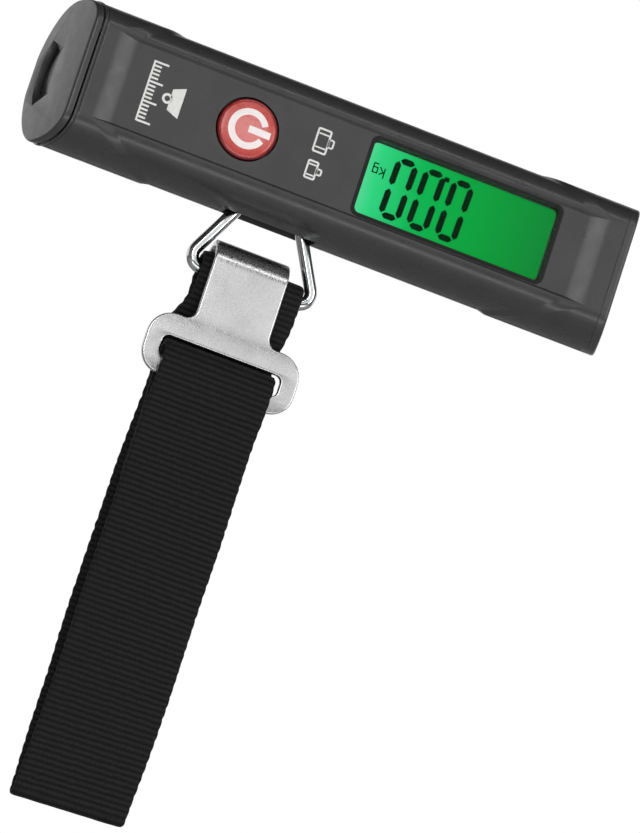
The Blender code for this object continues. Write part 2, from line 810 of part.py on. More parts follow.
def ring_apex_z():
    """Height of the wire's centre line at the top of the ring, on the axis that the ring swings about."""
    sharp = RING_BAR_Z + RING_CORNER_X / math.tan(RING_LEG_ANGLE)
    return sharp - RING_APEX_RADIUS * (1 / math.sin(RING_LEG_ANGLE) - 1)


def make_eye_bolt():
    eye_z = ring_apex_z()
    loops = [
        arc((0, eye_z), EYE_RADIUS, 0, 2 * math.pi * 23 / 24, 23),
        arc((0, eye_z), EYE_HOLE_RADIUS, 0, 2 * math.pi * 23 / 24, 23),
    ]
    eye = add_node(
        "eye_bolt", outline_mesh("eye_bolt", loops, EYE_HALF_WIDTH, facing_side(RING_X)), NICKEL
    )
    shank = cylinder_mesh(
        "shank", SHANK_RADIUS, (RING_X, 0, eye_z + EYE_RADIUS - 1.2 * MM), (RING_X, 0, 13.6 * MM), 16
    )
    boolean(eye, "UNION", add_helper("shank", shank))

    low = BEAM_HIGH.z + GAP
    nut = add_cylinder("eye_bolt_nut", 3.6 * MM, (RING_X, 0, low), (RING_X, 0, low + 2.6 * MM), NICKEL, 6)
    bore = cylinder_mesh("nut bore", SHANK_RADIUS + 0.2 * MM, (RING_X, 0, 8 * MM), (RING_X, 0, 16 * MM), 16)
    boolean(nut, "DIFFERENCE", add_helper("nut bore", bore))


def make_leads():
    """Short leads held inside the handle, from the gauges and the cell contacts to the board."""
    board_back = BOARD_Y + BOARD_THICKNESS + 0.8 * MM
    gauge_route = [
        (7.5, 4.2, 10.9),
        (7.5, 3.0, 12.6),
        (4.0, -1.0, 13.2),
        (0.0, -4.2, 12.0),
        (-2.0, -5.0, 9.0),
    ]
    gauge_line = smooth_line([tuple(v * MM for v in place) for place in gauge_route], 4)
    wire("gauge_lead", gauge_line, 0.6 * MM, WIRE_RED)
    for name, z, look in (("battery_lead_negative", -5.5, WIRE_BLACK), ("battery_lead_positive", 5.5, WIRE_RED)):
        route = [
            Vector((TRAY_INNER_X / MM + 3.2, 1.0, z)) * MM,
            Vector((-38.0, 0.5, z * 0.8)) * MM,
            Vector((-34.5, -2.0, z * 0.6)) * MM,
            Vector((-31.0, board_back / MM + 0.3, z * 0.6)) * MM,
            Vector((-28.0, board_back / MM, z * 0.6)) * MM,
        ]
        wire(name, smooth_line(route, 4), 0.5 * MM, look)


# ---------------------------------------------------------------- ring, strap and hook plate


def make_ring():
    sharp_z = RING_BAR_Z + RING_CORNER_X / math.tan(RING_LEG_ANGLE)
    corners = [
        (RING_CORNER_X, RING_BAR_Z, RING_CORNER_RADIUS),
        (0, sharp_z, RING_APEX_RADIUS),
        (-RING_CORNER_X, RING_BAR_Z, RING_CORNER_RADIUS),
    ]
    points = [(RING_X + x, 0, z) for x, z in rounded(corners, 9)]
    return wire("suspension_ring", points, RING_WIRE, WIRE_STEEL, 3, cyclic=True)


def teardrop(centre, radius, drop, tip_half):
    """A loop of webbing seen end on: round over the top and drawn in to a narrow tip below."""
    start = math.radians(-14)
    top = arc(centre, radius, start, math.pi - start, 16)
    tip = [(centre[0] - tip_half, centre[1] - drop), (centre[0] + tip_half, centre[1] - drop)]
    return top + tip


def web_slab(name, outline, half_width):
    return outline_mesh(name, [outline], half_width, facing_side(WEB_X))


def fold_centre():
    """(y, z) of the centre that the webbing turns round at the bottom of the strap."""
    return 0, FOLD_Z + WEB_THICKNESS / 2 + FOLD_RADIUS


def make_strap_back():
    """From the loop on the ring's bar, down the back of the strap, to the fold at the bottom."""
    bar = (0, RING_BAR_Z)
    doubled_to = -62.0 * MM
    run = smooth_line(
        [
            (0.65 * MM, -43.0 * MM),
            (0.75 * MM, -52.0 * MM),
            (1.6 * MM, -63.0 * MM),
            (4.2 * MM, -80.0 * MM),
            (5.2 * MM, -100.0 * MM),
            (4.9 * MM, -122.0 * MM),
            (3.6 * MM, -143.0 * MM),
            (FOLD_RADIUS, fold_centre()[1] + 1 * MM),
        ]
    )
    run += arc(fold_centre(), FOLD_RADIUS, 0, -FOLD_TURN, 6)
    strap = add_node("strap_back", web_slab("strap_back", band(run, WEB_THICKNESS), WEB_HALF_WIDTH), WEBBING)
    overlap = [(y - WEB_THICKNESS * 0.96, z) for y, z in run if z > doubled_to]
    tail = add_helper("sewn tail", web_slab("sewn tail", band(overlap, WEB_THICKNESS), WEB_HALF_WIDTH))
    loop_outline = teardrop(bar, RING_LOOP_RADIUS + WEB_THICKNESS, 13.2 * MM, 1.2 * MM)
    loop = add_helper("ring loop", web_slab("ring loop", loop_outline, WEB_HALF_WIDTH))
    boolean(strap, "UNION", tail, loop)
    eye = teardrop(bar, RING_LOOP_RADIUS, 10.0 * MM, 0.15 * MM)
    cutters = [add_helper("ring loop eye", web_slab("ring loop eye", eye, 20 * MM))]
    for side in (-1, 1):
        near = RING_X + side * RING_LOOP_HALF_WIDTH
        far = RING_X + side * 20 * MM
        low = (min(near, far), -8 * MM, RING_BAR_Z - 1.2 * MM)
        high = (max(near, far), 8 * MM, RING_BAR_Z + 8 * MM)
        cutters.append(add_helper(f"loop side {side}", box_mesh("loop side", low, high)))
    return boolean(strap, "DIFFERENCE", *cutters)


def make_strap_front():
    """From the fold at the bottom, up the front of the strap, round the hook plate's lower bar."""
    y = PLATE_MIDDLE_Y
    run = smooth_line(
        [
            (-FOLD_RADIUS, fold_centre()[1] + 1 * MM),
            (-4.0 * MM, -143.0 * MM),
            (-5.6 * MM, -122.0 * MM),
            (-6.2 * MM, -100.0 * MM),
            (-6.0 * MM, -84.0 * MM),
            (y - 0.6 * MM, -68.0 * MM),
        ]
    )
    run = arc(fold_centre(), FOLD_RADIUS, math.pi + FOLD_TURN, math.pi, 6) + run
    strap = add_node("strap_front", web_slab("strap_front", band(run, WEB_THICKNESS), WEB_HALF_WIDTH), WEBBING)
    overlap = [(py + WEB_THICKNESS * 0.96, z) for py, z in run if z > -84.0 * MM]
    tail = add_helper("sewn end", web_slab("sewn end", band(overlap, WEB_THICKNESS), WEB_HALF_WIDTH))
    centre = (y, PLATE_BAR_Z + 2.2 * MM)
    loop_outline = teardrop(centre, 3.5 * MM, 14.2 * MM, 1.25 * MM)
    loop = add_helper("plate loop", web_slab("plate loop", loop_outline, WEB_HALF_WIDTH))
    boolean(strap, "UNION", tail, loop)
    eye = rounded(
        [
            (y - 2.2 * MM, PLATE_BAR_Z - 3.6 * MM, 0.9 * MM),
            (y + 2.2 * MM, PLATE_BAR_Z - 3.6 * MM, 0.9 * MM),
            (y + 2.2 * MM, PLATE_BAR_Z + 4.4 * MM, 2.0 * MM),
            (y - 2.2 * MM, PLATE_BAR_Z + 4.4 * MM, 2.0 * MM),
        ]
    )
    return boolean(strap, "DIFFERENCE", add_helper("plate eye", web_slab("plate eye", eye, 20 * MM)))


def make_hook_plate():
    half_plate = [
        (HOOK_HALF_WIDTH, HOOK_CENTRE_Z, 0),
        (HOOK_HALF_WIDTH, SHOULDER_TOP_Z, 2.4 * MM),
        (SHOULDER_HALF_WIDTH, SHOULDER_TOP_Z, 5.8 * MM),
        (SHOULDER_HALF_WIDTH, PLATE_BOTTOM_Z, 5.4 * MM),
    ]
    outline = rounded(half_plate + [(-x, z, radius) for x, z, radius in half_plate[::-1]])
    slot_middle = sum(SLOT_Z) / 2
    slot = [
        (x, slot_middle + z)
        for x, z in rectangle(SLOT_HALF_WIDTH, (SLOT_Z[1] - SLOT_Z[0]) / 2, 1.5 * MM)
    ]
    place = facing_front(PLATE_X, PLATE_MIDDLE_Y)
    plate = add_node(
        "hook_plate", outline_mesh("hook_plate", [outline, slot], PLATE_THICKNESS / 2, place), STEEL
    )
    overlap = 1.0 * MM
    middle = arc((0, HOOK_CENTRE_Z), -PLATE_MIDDLE_Y, math.pi, HOOK_END_ANGLE, 16)
    line = [(PLATE_MIDDLE_Y, HOOK_CENTRE_Z - overlap), *middle]
    hook = outline_mesh("hook roll", [band(line, PLATE_THICKNESS)], HOOK_HALF_WIDTH, facing_side(PLATE_X))
    boolean(plate, "UNION", add_helper("hook roll", hook))
    return plate


# ---------------------------------------------------------------- assembly


def assemble():
    make_front_shell()
    make_rear_shell()
    battery_cap, _ = make_end_caps()
    make_shell_screws()
    make_display()
    make_board()
    make_load_cell()
    make_eye_bolt()
    make_leads()
    make_power_button()
    tray, cell = make_battery()
    hang_on(pivot("drawer_slide", (CELL_X, CELL_Y, 0)), battery_cap, tray, cell)

    ring_pivot = pivot("ring_swing", (RING_X, 0, ring_apex_z()))
    strap_pivot = pivot("strap_swing", (RING_X, 0, RING_BAR_Z))
    fold_pivot = pivot("strap_open", (WEB_X, 0, FOLD_Z))
    plate_pivot = pivot("hook_tilt", (PLATE_X, PLATE_MIDDLE_Y, PLATE_BAR_Z))
    hang_on(ring_pivot, make_ring(), strap_pivot)
    hang_on(strap_pivot, make_strap_back(), fold_pivot)
    hang_on(fold_pivot, make_strap_front(), plate_pivot)
    hang_on(plate_pivot, make_hook_plate())


assemble()
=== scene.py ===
"""Digital luggage scale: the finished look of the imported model, in the same frame and in metres."""

import math

import bmesh
import bpy
from mathutils import Matrix, Vector, noise


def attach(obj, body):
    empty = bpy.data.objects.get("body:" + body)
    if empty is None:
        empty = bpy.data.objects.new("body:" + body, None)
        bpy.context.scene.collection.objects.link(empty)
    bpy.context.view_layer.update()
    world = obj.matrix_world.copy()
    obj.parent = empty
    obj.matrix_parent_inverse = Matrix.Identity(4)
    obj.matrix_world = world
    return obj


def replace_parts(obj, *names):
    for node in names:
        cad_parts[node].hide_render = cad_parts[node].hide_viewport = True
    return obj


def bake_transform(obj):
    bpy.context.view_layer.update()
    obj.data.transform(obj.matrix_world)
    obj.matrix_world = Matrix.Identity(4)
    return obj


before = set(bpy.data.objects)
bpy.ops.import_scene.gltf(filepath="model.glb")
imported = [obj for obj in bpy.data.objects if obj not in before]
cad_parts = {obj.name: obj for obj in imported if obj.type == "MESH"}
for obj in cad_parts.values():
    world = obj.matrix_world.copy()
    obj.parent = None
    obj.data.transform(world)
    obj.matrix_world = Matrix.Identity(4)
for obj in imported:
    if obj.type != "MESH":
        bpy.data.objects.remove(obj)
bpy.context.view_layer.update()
MM = 0.001

# Handle
FRONT_Y = -13.5 * MM
REAR_Y = 13.5 * MM
REAR_SEMI_DEPTH = 14.0 * MM
END_HALF_HEIGHT = 17.6 * MM
WAIST_HALF_HEIGHT = 17.1 * MM
PANEL_HALF = 10.6 * MM
PANEL_RECESS = 1.2 * MM
PANEL_Y = FRONT_Y + PANEL_RECESS
PANEL_LIP = 0.60 * MM
PANEL_FOOT_IN = 0.62 * MM
END_RIM = 0.22 * MM
WALL = 1.9 * MM
SHELL_FRONT_HALF = 65.5 * MM
END_SLOPE = 0.2185
RAMP_OUTER_X = 61.4 * MM
RAMP_LENGTH = 5.0 * MM
RAMP_SWEEP = 18.0 * MM
RAMP_NARROWING = 0.6
GAP = 0.3 * MM

CAP_SEAM = 0.4 * MM
CAP_THICKNESS = 1.7 * MM
PULL_CENTRE_Y = -3.6 * MM
PULL_RADIUS = 10.9 * MM
PULL_HALF_WIDTH = 2.4 * MM
PULL_HALF_ANGLE = math.radians(38)
SCOOP_CHORD_Y = -1.6 * MM

WINDOW_X = 26.3 * MM
WINDOW_SIZE = (46.4 * MM, 17.8 * MM)
WINDOW_CORNER = 1.3 * MM
LCD_Y = -10.1 * MM
BUTTON_X = -26.2 * MM
BUTTON_RADIUS = 7.2 * MM
SHELL_SCREW_PLACES = [(x * MM, z * MM) for x in (-39.0, 58.0) for z in (-10.5, 10.5)]
SHELL_SCREW_HEAD_Y = 6.4 * MM

# Ring, hook plate and webbing
RING_X = -12.3 * MM
RING_WIRE = 1.5 * MM
RING_BAR_Z = -31.3 * MM
RING_CORNER_X = 16.4 * MM
RING_LEG_ANGLE = math.radians(28)
RING_CORNER_RADIUS = 2.7 * MM
RING_APEX_RADIUS = 4.5 * MM
RING_SLOT_HALF = (11.2 * MM, 3.3 * MM)
PLATE_X = -13.8 * MM
PLATE_THICKNESS = 1.6 * MM
PLATE_MIDDLE_Y = -5.4 * MM
HOOK_CENTRE_Z = -30.0 * MM
HOOK_HALF_WIDTH = 9.0 * MM
HOOK_END_ANGLE = math.radians(32)
SHOULDER_TOP_Z = -44.6 * MM
SHOULDER_HALF_WIDTH = 18.6 * MM
PLATE_BOTTOM_Z = -59.1 * MM
SLOT_HALF_WIDTH = 14.5 * MM
SLOT_Z = (-55.0 * MM, -50.0 * MM)
WEB_X = -14.2 * MM
WEB_HALF_WIDTH = 13.05 * MM
WEB_THICKNESS = 1.3 * MM
RING_LOOP_HALF_WIDTH = 12.1 * MM
FOLD_Z = -159.7 * MM
FOLD_RADIUS = 1.9 * MM
FOLD_SKEW = 0.045
RIB_PITCH = 1.34 * MM


# ---------------------------------------------------------------- mesh helpers


def smooth_by_angle(mesh, degrees):
    mesh.shade_smooth()
    mesh.set_sharp_from_angle(angle=math.radians(degrees))


def add_mesh(name, mesh, body, look, degrees=35, flat=False):
    obj = bpy.data.objects.new(name, mesh)
    bpy.context.scene.collection.objects.link(obj)
    mesh.materials.clear()
    mesh.materials.append(look)
    smooth_by_angle(mesh, degrees)
    if flat:
        modifier = obj.modifiers.new("level", "WEIGHTED_NORMAL")
        modifier.keep_sharp = True
    if body:
        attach(obj, body)
    return obj


def mesh_of(name, build):
    work = bmesh.new()
    build(work)
    bmesh.ops.recalc_face_normals(work, faces=work.faces)
    mesh = bpy.data.meshes.new(name)
    work.to_mesh(mesh)
    work.free()
    return mesh


def grid_mesh(name, rows, close_rows=False, close_columns=False, caps=False):
    """A surface through rows of points, all with the same number of points."""

    def build(work):
        made = [[work.verts.new(point) for point in row] for row in rows]
        pairs = list(zip(made, made[1:])) + ([(made[-1], made[0])] if close_rows else [])
        for near, far in pairs:
            count = len(near)
            for i in range(count if close_columns else count - 1):
                j = (i + 1) % count
                work.faces.new((near[i], near[j], far[j], far[i]))
        if caps:
            work.faces.new(made[0])
            work.faces.new(made[-1])

    return mesh_of(name, build)


def cylinder_mesh(name, radius, start, end, segments=48):
    start, end = Vector(start), Vector(end)
    run = end - start
    placed = Matrix.Translation(start + run / 2) @ Vector((0, 0, 1)).rotation_difference(run).to_matrix().to_4x4()
    return mesh_of(
        name,
        lambda work: bmesh.ops.create_cone(
            work, cap_ends=True, segments=segments, radius1=radius, radius2=radius, depth=run.length, matrix=placed
        ),
    )


def box_mesh(name, low, high):
    low, high = Vector(low), Vector(high)
    placed = Matrix.Translation((low + high) / 2) @ Matrix.Diagonal((*(high - low), 1))
    return mesh_of(name, lambda work: bmesh.ops.create_cube(work, size=1, matrix=placed))


def helper(data):
    obj = bpy.data.objects.new("helper", data)
    bpy.context.scene.collection.objects.link(obj)
    return obj


def baked(obj, *others):
    """The mesh that an object's modifiers or curve make; the object and its helpers are removed."""
    bpy.context.view_layer.update()
    made = bpy.data.meshes.new_from_object(obj.evaluated_get(bpy.context.evaluated_depsgraph_get()))
    for item in (obj, *others):
        bpy.data.objects.remove(item)
    return made


def reworked(mesh, change):
    """Edits a mesh in place and turns its faces outward."""
    work = bmesh.new()
    work.from_mesh(mesh)
    change(work)
    bmesh.ops.recalc_face_normals(work, faces=work.faces)
    work.to_mesh(mesh)
    work.free()
    return mesh


def outline_mesh(name, loops, half_thickness, place, ease=0.0, resolution=2):
    """A flat outline with holes, made a slab; ease rounds its edges."""
    curve = bpy.data.curves.new(name, "CURVE")
    curve.dimensions = "2D"
    curve.fill_mode = "BOTH"
    curve.extrude = half_thickness - ease
    curve.bevel_depth = ease
    curve.bevel_resolution = resolution
    curve.offset = -ease
    for loop in loops:
        spline = curve.splines.new("POLY")
        spline.points.add(len(loop) - 1)
        for point, (x, y) in zip(spline.points, loop):
            point.co = (x, y, 0, 1)
        spline.use_cyclic_u = True

    def settle(work):
        bmesh.ops.remove_doubles(work, verts=work.verts, dist=0.002 * MM)
        bmesh.ops.transform(work, matrix=place, verts=work.verts)

    return reworked(baked(helper(curve)), settle)


def facing_front(x, y):
    return Matrix.Translation((x, y, 0)) @ Matrix.Rotation(math.pi / 2, 4, "X")


def arc(centre, radius, start, end, steps):
    angles = [start + (end - start) * i / steps for i in range(steps + 1)]
    return [(centre[0] + radius * math.cos(a), centre[1] + radius * math.sin(a)) for a in angles]


def rounded(corners, steps=8):
    points = []
    for i, (x, y, radius) in enumerate(corners):
        corner = Vector((x, y))
        if radius == 0:
            points.append((x, y))
            continue
        before = (Vector(corners[i - 1][:2]) - corner).normalized()
        after = (Vector(corners[(i + 1) % len(corners)][:2]) - corner).normalized()
        half = before.angle(after) / 2
        centre = corner + (before + after).normalized() * (radius / math.sin(half))
        first = corner + before * (radius / math.tan(half)) - centre
        last = corner + after * (radius / math.tan(half)) - centre
        turn = first.angle_signed(last)
        for k in range(steps + 1):
            spoke = first.copy()
            spoke.rotate(Matrix.Rotation(-turn * k / steps, 2))
            points.append(tuple(centre + spoke))
    return points


def rectangle(x_half, y_half, radius, steps=8):
    signs = ((1, 1), (-1, 1), (-1, -1), (1, -1))
    return rounded([(sx * x_half, sy * y_half, radius) for sx, sy in signs], steps)


def smooth_line(points, steps):
    """A smooth curve through a few points, sampled between each pair."""
    ends = [2 * Vector(points[0]) - Vector(points[1]), 2 * Vector(points[-1]) - Vector(points[-2])]
    route = [ends[0], *map(Vector, points), ends[1]]
    line = []
    for a, b, c, d in zip(route, route[1:], route[2:], route[3:]):
        for k in range(steps):
            t = k / steps
            line.append(0.5 * (2 * b + (c - a) * t + (2 * a - 5 * b + 4 * c - d) * t**2
                               + (3 * b - a - 3 * c + d) * t**3))
    return [*line, Vector(points[-1])]


def even_line(points, step):
    """The same line with points an even distance apart, and its length."""
    points = [Vector(p) for p in points]
    lengths = [0.0]
    for a, b in zip(points, points[1:]):
        lengths.append(lengths[-1] + (b - a).length)
    total = lengths[-1]
    count = max(2, round(total / step))
    line = []
    k = 0
    for i in range(count + 1):
        want = total * i / count
        while k < len(points) - 2 and lengths[k + 1] < want:
            k += 1
        share = (want - lengths[k]) / max(lengths[k + 1] - lengths[k], 1e-9)
        line.append(points[k].lerp(points[k + 1], min(share, 1.0)))
    return line, total


def turned_mesh(name, profile, place, steps=72):
    """A body turned about the Y axis from (radius, y) points."""
    rows = []
    for k in range(steps):
        a = 2 * math.pi * k / steps
        rows.append([(place[0] + r * math.cos(a), y, place[1] + r * math.sin(a)) for r, y in profile])
    mesh = grid_mesh(name, rows, close_rows=True)
    return reworked(mesh, lambda work: bmesh.ops.remove_doubles(work, verts=work.verts, dist=0.001 * MM))


def carve(mesh, steps):
    """Applies Booleans in turn: steps is a list of (operation, mesh)."""
    obj = helper(mesh)
    helpers = []
    for operation, other in steps:
        helpers.append(helper(other))
        modifier = obj.modifiers.new(operation, "BOOLEAN")
        modifier.operation = operation
        modifier.solver = "EXACT"
        modifier.object = helpers[-1]
    return baked(obj, *helpers)


def eased(mesh, width, degrees=50, segments=2):
    """Applies a small bevel to a mesh's sharp edges."""
    obj = helper(mesh)
    modifier = obj.modifiers.new("ease", "BEVEL")
    modifier.width = width
    modifier.segments = segments
    modifier.limit_method = "ANGLE"
    modifier.angle_limit = math.radians(degrees)
    modifier.use_clamp_overlap = True
    return baked(obj)


# ---------------------------------------------------------------- materials


class Look:
    """A material built node by node on a Principled shader; all of its patterns are in object coordinates."""

    def __init__(self, name, roughness=0.4, metallic=0.0, **sockets):
        self.material = bpy.data.materials.new(name)
        self.material.use_nodes = True
        self.tree = self.material.node_tree
        self.shader = self.tree.nodes["Principled BSDF"]
        self.shader.inputs["Roughness"].default_value = roughness
        self.shader.inputs["Metallic"].default_value = metallic
        for socket, value in sockets.items():
            self.shader.inputs[socket.replace("_", " ")].default_value = value
        self.coordinates = self.tree.nodes.new("ShaderNodeTexCoord")

    def link(self, output, socket):
        self.tree.links.new(output, socket)

    def node(self, kind, **settings):
        made = self.tree.nodes.new(kind)
        for name, value in settings.items():
            setattr(made, name, value)
        return made

    def place(self, stretch=(1, 1, 1), source="Object"):
        """Coordinates in millimetres, times a stretch."""
        mapping = self.node("ShaderNodeMapping")
        mapping.inputs["Scale"].default_value = [1000 * s for s in stretch]
        self.link(self.coordinates.outputs[source], mapping.inputs["Vector"])
        return mapping.outputs["Vector"]

    def noise(self, per_mm, detail=3.0, stretch=(1, 1, 1)):
        made = self.node("ShaderNodeTexNoise")
        made.inputs["Scale"].default_value = per_mm
        made.inputs["Detail"].default_value = detail
        self.link(self.place(stretch), made.inputs["Vector"])
        return made.outputs["Fac"]

    def ramp(self, value, stops):
        """Colours or greys along a value: stops is a list of (position, colour or number)."""
        made = self.node("ShaderNodeValToRGB")
        while len(made.color_ramp.elements) < len(stops):
            made.color_ramp.elements.new(0.5)
        for element, (position, colour) in zip(made.color_ramp.elements, stops):
            element.position = position
            element.color = (*colour, 1) if isinstance(colour, tuple) else (colour, colour, colour, 1)
        self.link(value, made.inputs["Fac"])
        return made.outputs["Color"]

    def colour(self, output):
        self.link(output, self.shader.inputs["Base Color"])

    def roughness(self, value, low, high):
        spread = self.node("ShaderNodeMapRange")
        spread.inputs["From Min"].default_value = 0.3
        spread.inputs["From Max"].default_value = 0.7
        spread.inputs["To Min"].default_value = low
        spread.inputs["To Max"].default_value = high
        self.link(value, spread.inputs["Value"])
        self.link(spread.outputs["Result"], self.shader.inputs["Roughness"])

    def bump(self, height, depth_mm, strength=1.0, before=None):
        made = self.node("ShaderNodeBump")
        made.inputs["Strength"].default_value = strength
        made.inputs["Distance"].default_value = depth_mm * MM
        self.link(height, made.inputs["Height"])
        if before is not None:
            self.link(before, made.inputs["Normal"])
        self.link(made.outputs["Normal"], self.shader.inputs["Normal"])
        return made.outputs["Normal"]

    def math(self, operation, a, b=None):
        made = self.node("ShaderNodeMath", operation=operation)
        for socket, value in zip(made.inputs, (a, b)):
            if isinstance(value, (int, float)):
                socket.default_value = value
            elif value is not None:
                self.link(value, socket)
        return made.outputs[0]


def shade(colour, amount):
    return tuple(c * amount for c in colour)


def plain_look(name, colour, roughness, metallic=0.0, vary=0.12, grain=2.0, depth=0.01, **sockets):
    """Plastic or metal with a slight mottle in colour and gloss and a fine surface grain."""
    look = Look(name, roughness, metallic, **sockets)
    coarse = look.noise(0.22, 4.0)
    look.colour(look.ramp(coarse, [(0.3, shade(colour, 1 - vary)), (0.7, shade(colour, 1 + vary))]))
    look.roughness(look.noise(0.6, 4.0), roughness * 0.88, min(roughness * 1.12, 1))
    look.bump(look.noise(grain, 3.0), depth)
    return look.material


def housing_look():
    """Moulded black ABS: fine spark texture and faint flow mottle, with a painted highlight: convex edges are painted
    paler.
    """
    look = Look("housing_plastic", 0.30, 0.0, IOR=1.5)
    base = (0.040, 0.0402, 0.0408)
    mottle = look.noise(0.10, 5.0)
    body = look.ramp(mottle, [(0.30, shade(base, 0.90)), (0.70, shade(base, 1.10))])
    geometry = look.node("ShaderNodeNewGeometry")
    # painted highlight: the colour is paler on convex edges, where rims catch the light
    painted_edge_highlight = look.ramp(geometry.outputs["Pointiness"], [(0.515, 0.0), (0.60, 1.0)])
    mix = look.node("ShaderNodeMixRGB")
    mix.inputs["Color2"].default_value = (0.075, 0.076, 0.078, 1)
    look.link(look.math("MULTIPLY", painted_edge_highlight, 0.45), mix.inputs["Fac"])
    look.link(body, mix.inputs["Color1"])
    look.colour(mix.outputs["Color"])
    look.roughness(look.noise(0.35, 5.0), 0.25, 0.36)
    first = look.bump(look.noise(3.2, 2.0), 0.012, 0.55)
    look.bump(look.noise(0.08, 2.0), 0.05, 0.25, before=first)
    return look.material


def steel_look(name, colour, roughness, stretch, scratches=0.02):
    """Steel with fine drawn or brushed lines along one direction and faint handling marks."""
    look = Look(name, roughness, 1.0)
    lines = look.noise(3.0, 4.0, stretch)
    look.colour(look.ramp(look.noise(0.25, 5.0), [(0.3, shade(colour, 0.93)), (0.7, shade(colour, 1.05))]))
    look.roughness(lines, roughness * 0.75, roughness * 1.3)
    first = look.bump(lines, 0.006, 0.7)
    marks = look.ramp(look.noise(0.9, 6.0, (1.0, 1.0, 0.25)), [(0.60, 0.0), (0.66, 1.0)])
    look.bump(marks, scratches, 0.35, before=first)
    return look.material


def button_look():
    """Red cap with painted shade: paler in the middle, darker towards its rim and near black at its edge."""
    look = Look("button_red", 0.28, 0.0, Coat_Weight=0.35, Coat_Roughness=0.12)
    shift = look.node("ShaderNodeMapping")
    shift.inputs["Location"].default_value = (-BUTTON_X / MM, 0, 0)
    shift.inputs["Scale"].default_value = (1000, 0, 1000)
    look.link(look.coordinates.outputs["Object"], shift.inputs["Vector"])
    away = look.node("ShaderNodeVectorMath", operation="LENGTH")
    look.link(shift.outputs["Vector"], away.inputs[0])
    wavy = look.math("ADD", away.outputs["Value"], look.math("MULTIPLY", look.noise(0.5, 3.0), 0.5))
    radius = look.math("DIVIDE", wavy, 8.0)
    # painted shade: the red darkens towards the rim and is near black at the edge
    look.colour(look.ramp(radius, [
        (0.00, (0.72, 0.230, 0.215)),
        (0.42, (0.70, 0.195, 0.185)),
        (0.66, (0.56, 0.082, 0.070)),
        (0.82, (0.50, 0.046, 0.040)),
        (0.875, (0.22, 0.010, 0.012)),
        (0.93, (0.060, 0.004, 0.006)),
    ]))
    look.roughness(look.noise(0.8, 3.0), 0.24, 0.34)
    look.bump(look.noise(2.5, 2.0), 0.008, 0.4)
    return look.material


def lcd_look():
    """Lit display: green, brightest at its -X end where the lamp sits."""
    look = Look("lcd_green", 0.45, 0.0, Specular_IOR_Level=0.0)
    split = look.node("ShaderNodeSeparateXYZ")
    look.link(look.place(), split.inputs["Vector"])
    along = look.node("ShaderNodeMapRange")
    along.inputs["From Min"].default_value = 2.0
    along.inputs["From Max"].default_value = 50.0
    cloud = look.math("MULTIPLY", look.noise(0.10, 2.0), 3.0)
    look.link(look.math("ADD", split.outputs["X"], cloud), along.inputs["Value"])
    colour = look.ramp(along.outputs["Result"], [
        (0.00, (0.150, 0.80, 0.400)),
        (0.12, (0.030, 0.72, 0.240)),
        (0.34, (0.002, 0.50, 0.090)),
        (0.60, (0.001, 0.40, 0.050)),
        (1.00, (0.004, 0.27, 0.038)),
    ])
    look.link(colour, look.shader.inputs["Emission Color"])
    look.shader.inputs["Emission Strength"].default_value = 1.04
    look.shader.inputs["Base Color"].default_value = (0.001, 0.010, 0.003, 1)
    look.bump(look.noise(1.4, 2.0), 0.004, 0.3)
    return look.material


def segment_look():
    """Dark liquid crystal segments, with a little of the lamp's green showing through."""
    look = Look("lcd_segments", 0.5, 0.0, Specular_IOR_Level=0.0)
    look.colour(look.ramp(look.noise(0.5, 3.0), [(0.3, (0.001, 0.012, 0.004)), (0.7, (0.002, 0.022, 0.006))]))
    return look.material


def window_look():
    """Clear acrylic: almost invisible head on, with a glossy face."""
    look = Look("window_clear", 0.05, 0.0, Alpha=0.08, IOR=1.40, Specular_IOR_Level=0.10)
    look.colour(look.ramp(look.noise(0.2, 2.0), [(0.3, (0.02, 0.05, 0.03)), (0.7, (0.03, 0.07, 0.04))]))
    look.roughness(look.noise(0.5, 4.0), 0.04, 0.09)
    return look.material


def webbing_look():
    """Black polyester webbing: weft ribs from the mesh, and the warp yarns that cross them; the rib crests carry a
    painted highlight.
    """
    look = Look("black_webbing", 0.68, 0.0, Sheen_Weight=0.03, Sheen_Roughness=0.4, Specular_IOR_Level=0.16)
    mapping = look.place((1, 1, 1), "UV")
    split = look.node("ShaderNodeSeparateXYZ")
    look.link(mapping, split.inputs["Vector"])
    across, along = split.outputs["X"], split.outputs["Y"]
    pitch = RIB_PITCH / MM
    drift = look.math("MULTIPLY", look.math("SUBTRACT", look.noise(0.35, 3.0), 0.5), 0.55)
    rib_phase = look.math("MULTIPLY", look.math("ADD", along, drift), math.pi / pitch)
    rib = look.math("ABSOLUTE", look.math("SINE", rib_phase))
    row = look.math("FLOOR", look.math("DIVIDE", along, pitch))
    offset = look.math("MULTIPLY", row, 0.5)
    warp_phase = look.math("MULTIPLY", look.math("ADD", look.math("DIVIDE", across, 1.05), offset), math.pi)
    warp = look.math("ABSOLUTE", look.math("SINE", warp_phase))
    fibre = look.noise(5.5, 2.0, (1.0, 1.0, 1.0))
    height = look.math("ADD", look.math("MULTIPLY", warp, 0.30), look.math("MULTIPLY", fibre, 0.45))
    height = look.math("ADD", height, look.math("MULTIPLY", rib, 0.6))
    # painted highlight: the colour is paler on the rib crests and where the warp yarns rise, with random tone from
    # noise
    lit = look.math("ADD", look.math("MULTIPLY", rib, 0.62), look.math("MULTIPLY", look.noise(1.1, 4.0), 0.42))
    lit = look.math("ADD", lit, look.math("MULTIPLY", warp, 0.08))
    look.colour(look.ramp(lit, [
        (0.12, (0.0012, 0.0012, 0.0014)),
        (0.55, (0.0050, 0.0050, 0.0055)),
        (0.92, (0.0140, 0.0140, 0.0150)),
    ]))
    look.bump(height, 0.16, 0.8)
    return look.material


def print_look():
    look = Look("printed_white", 0.55, 0.0)
    look.colour(look.ramp(look.noise(1.5, 3.0), [(0.3, (0.70, 0.70, 0.69)), (0.7, (0.78, 0.78, 0.77))]))
    look.bump(look.noise(3.0, 2.0), 0.006, 0.4)
    return look.material


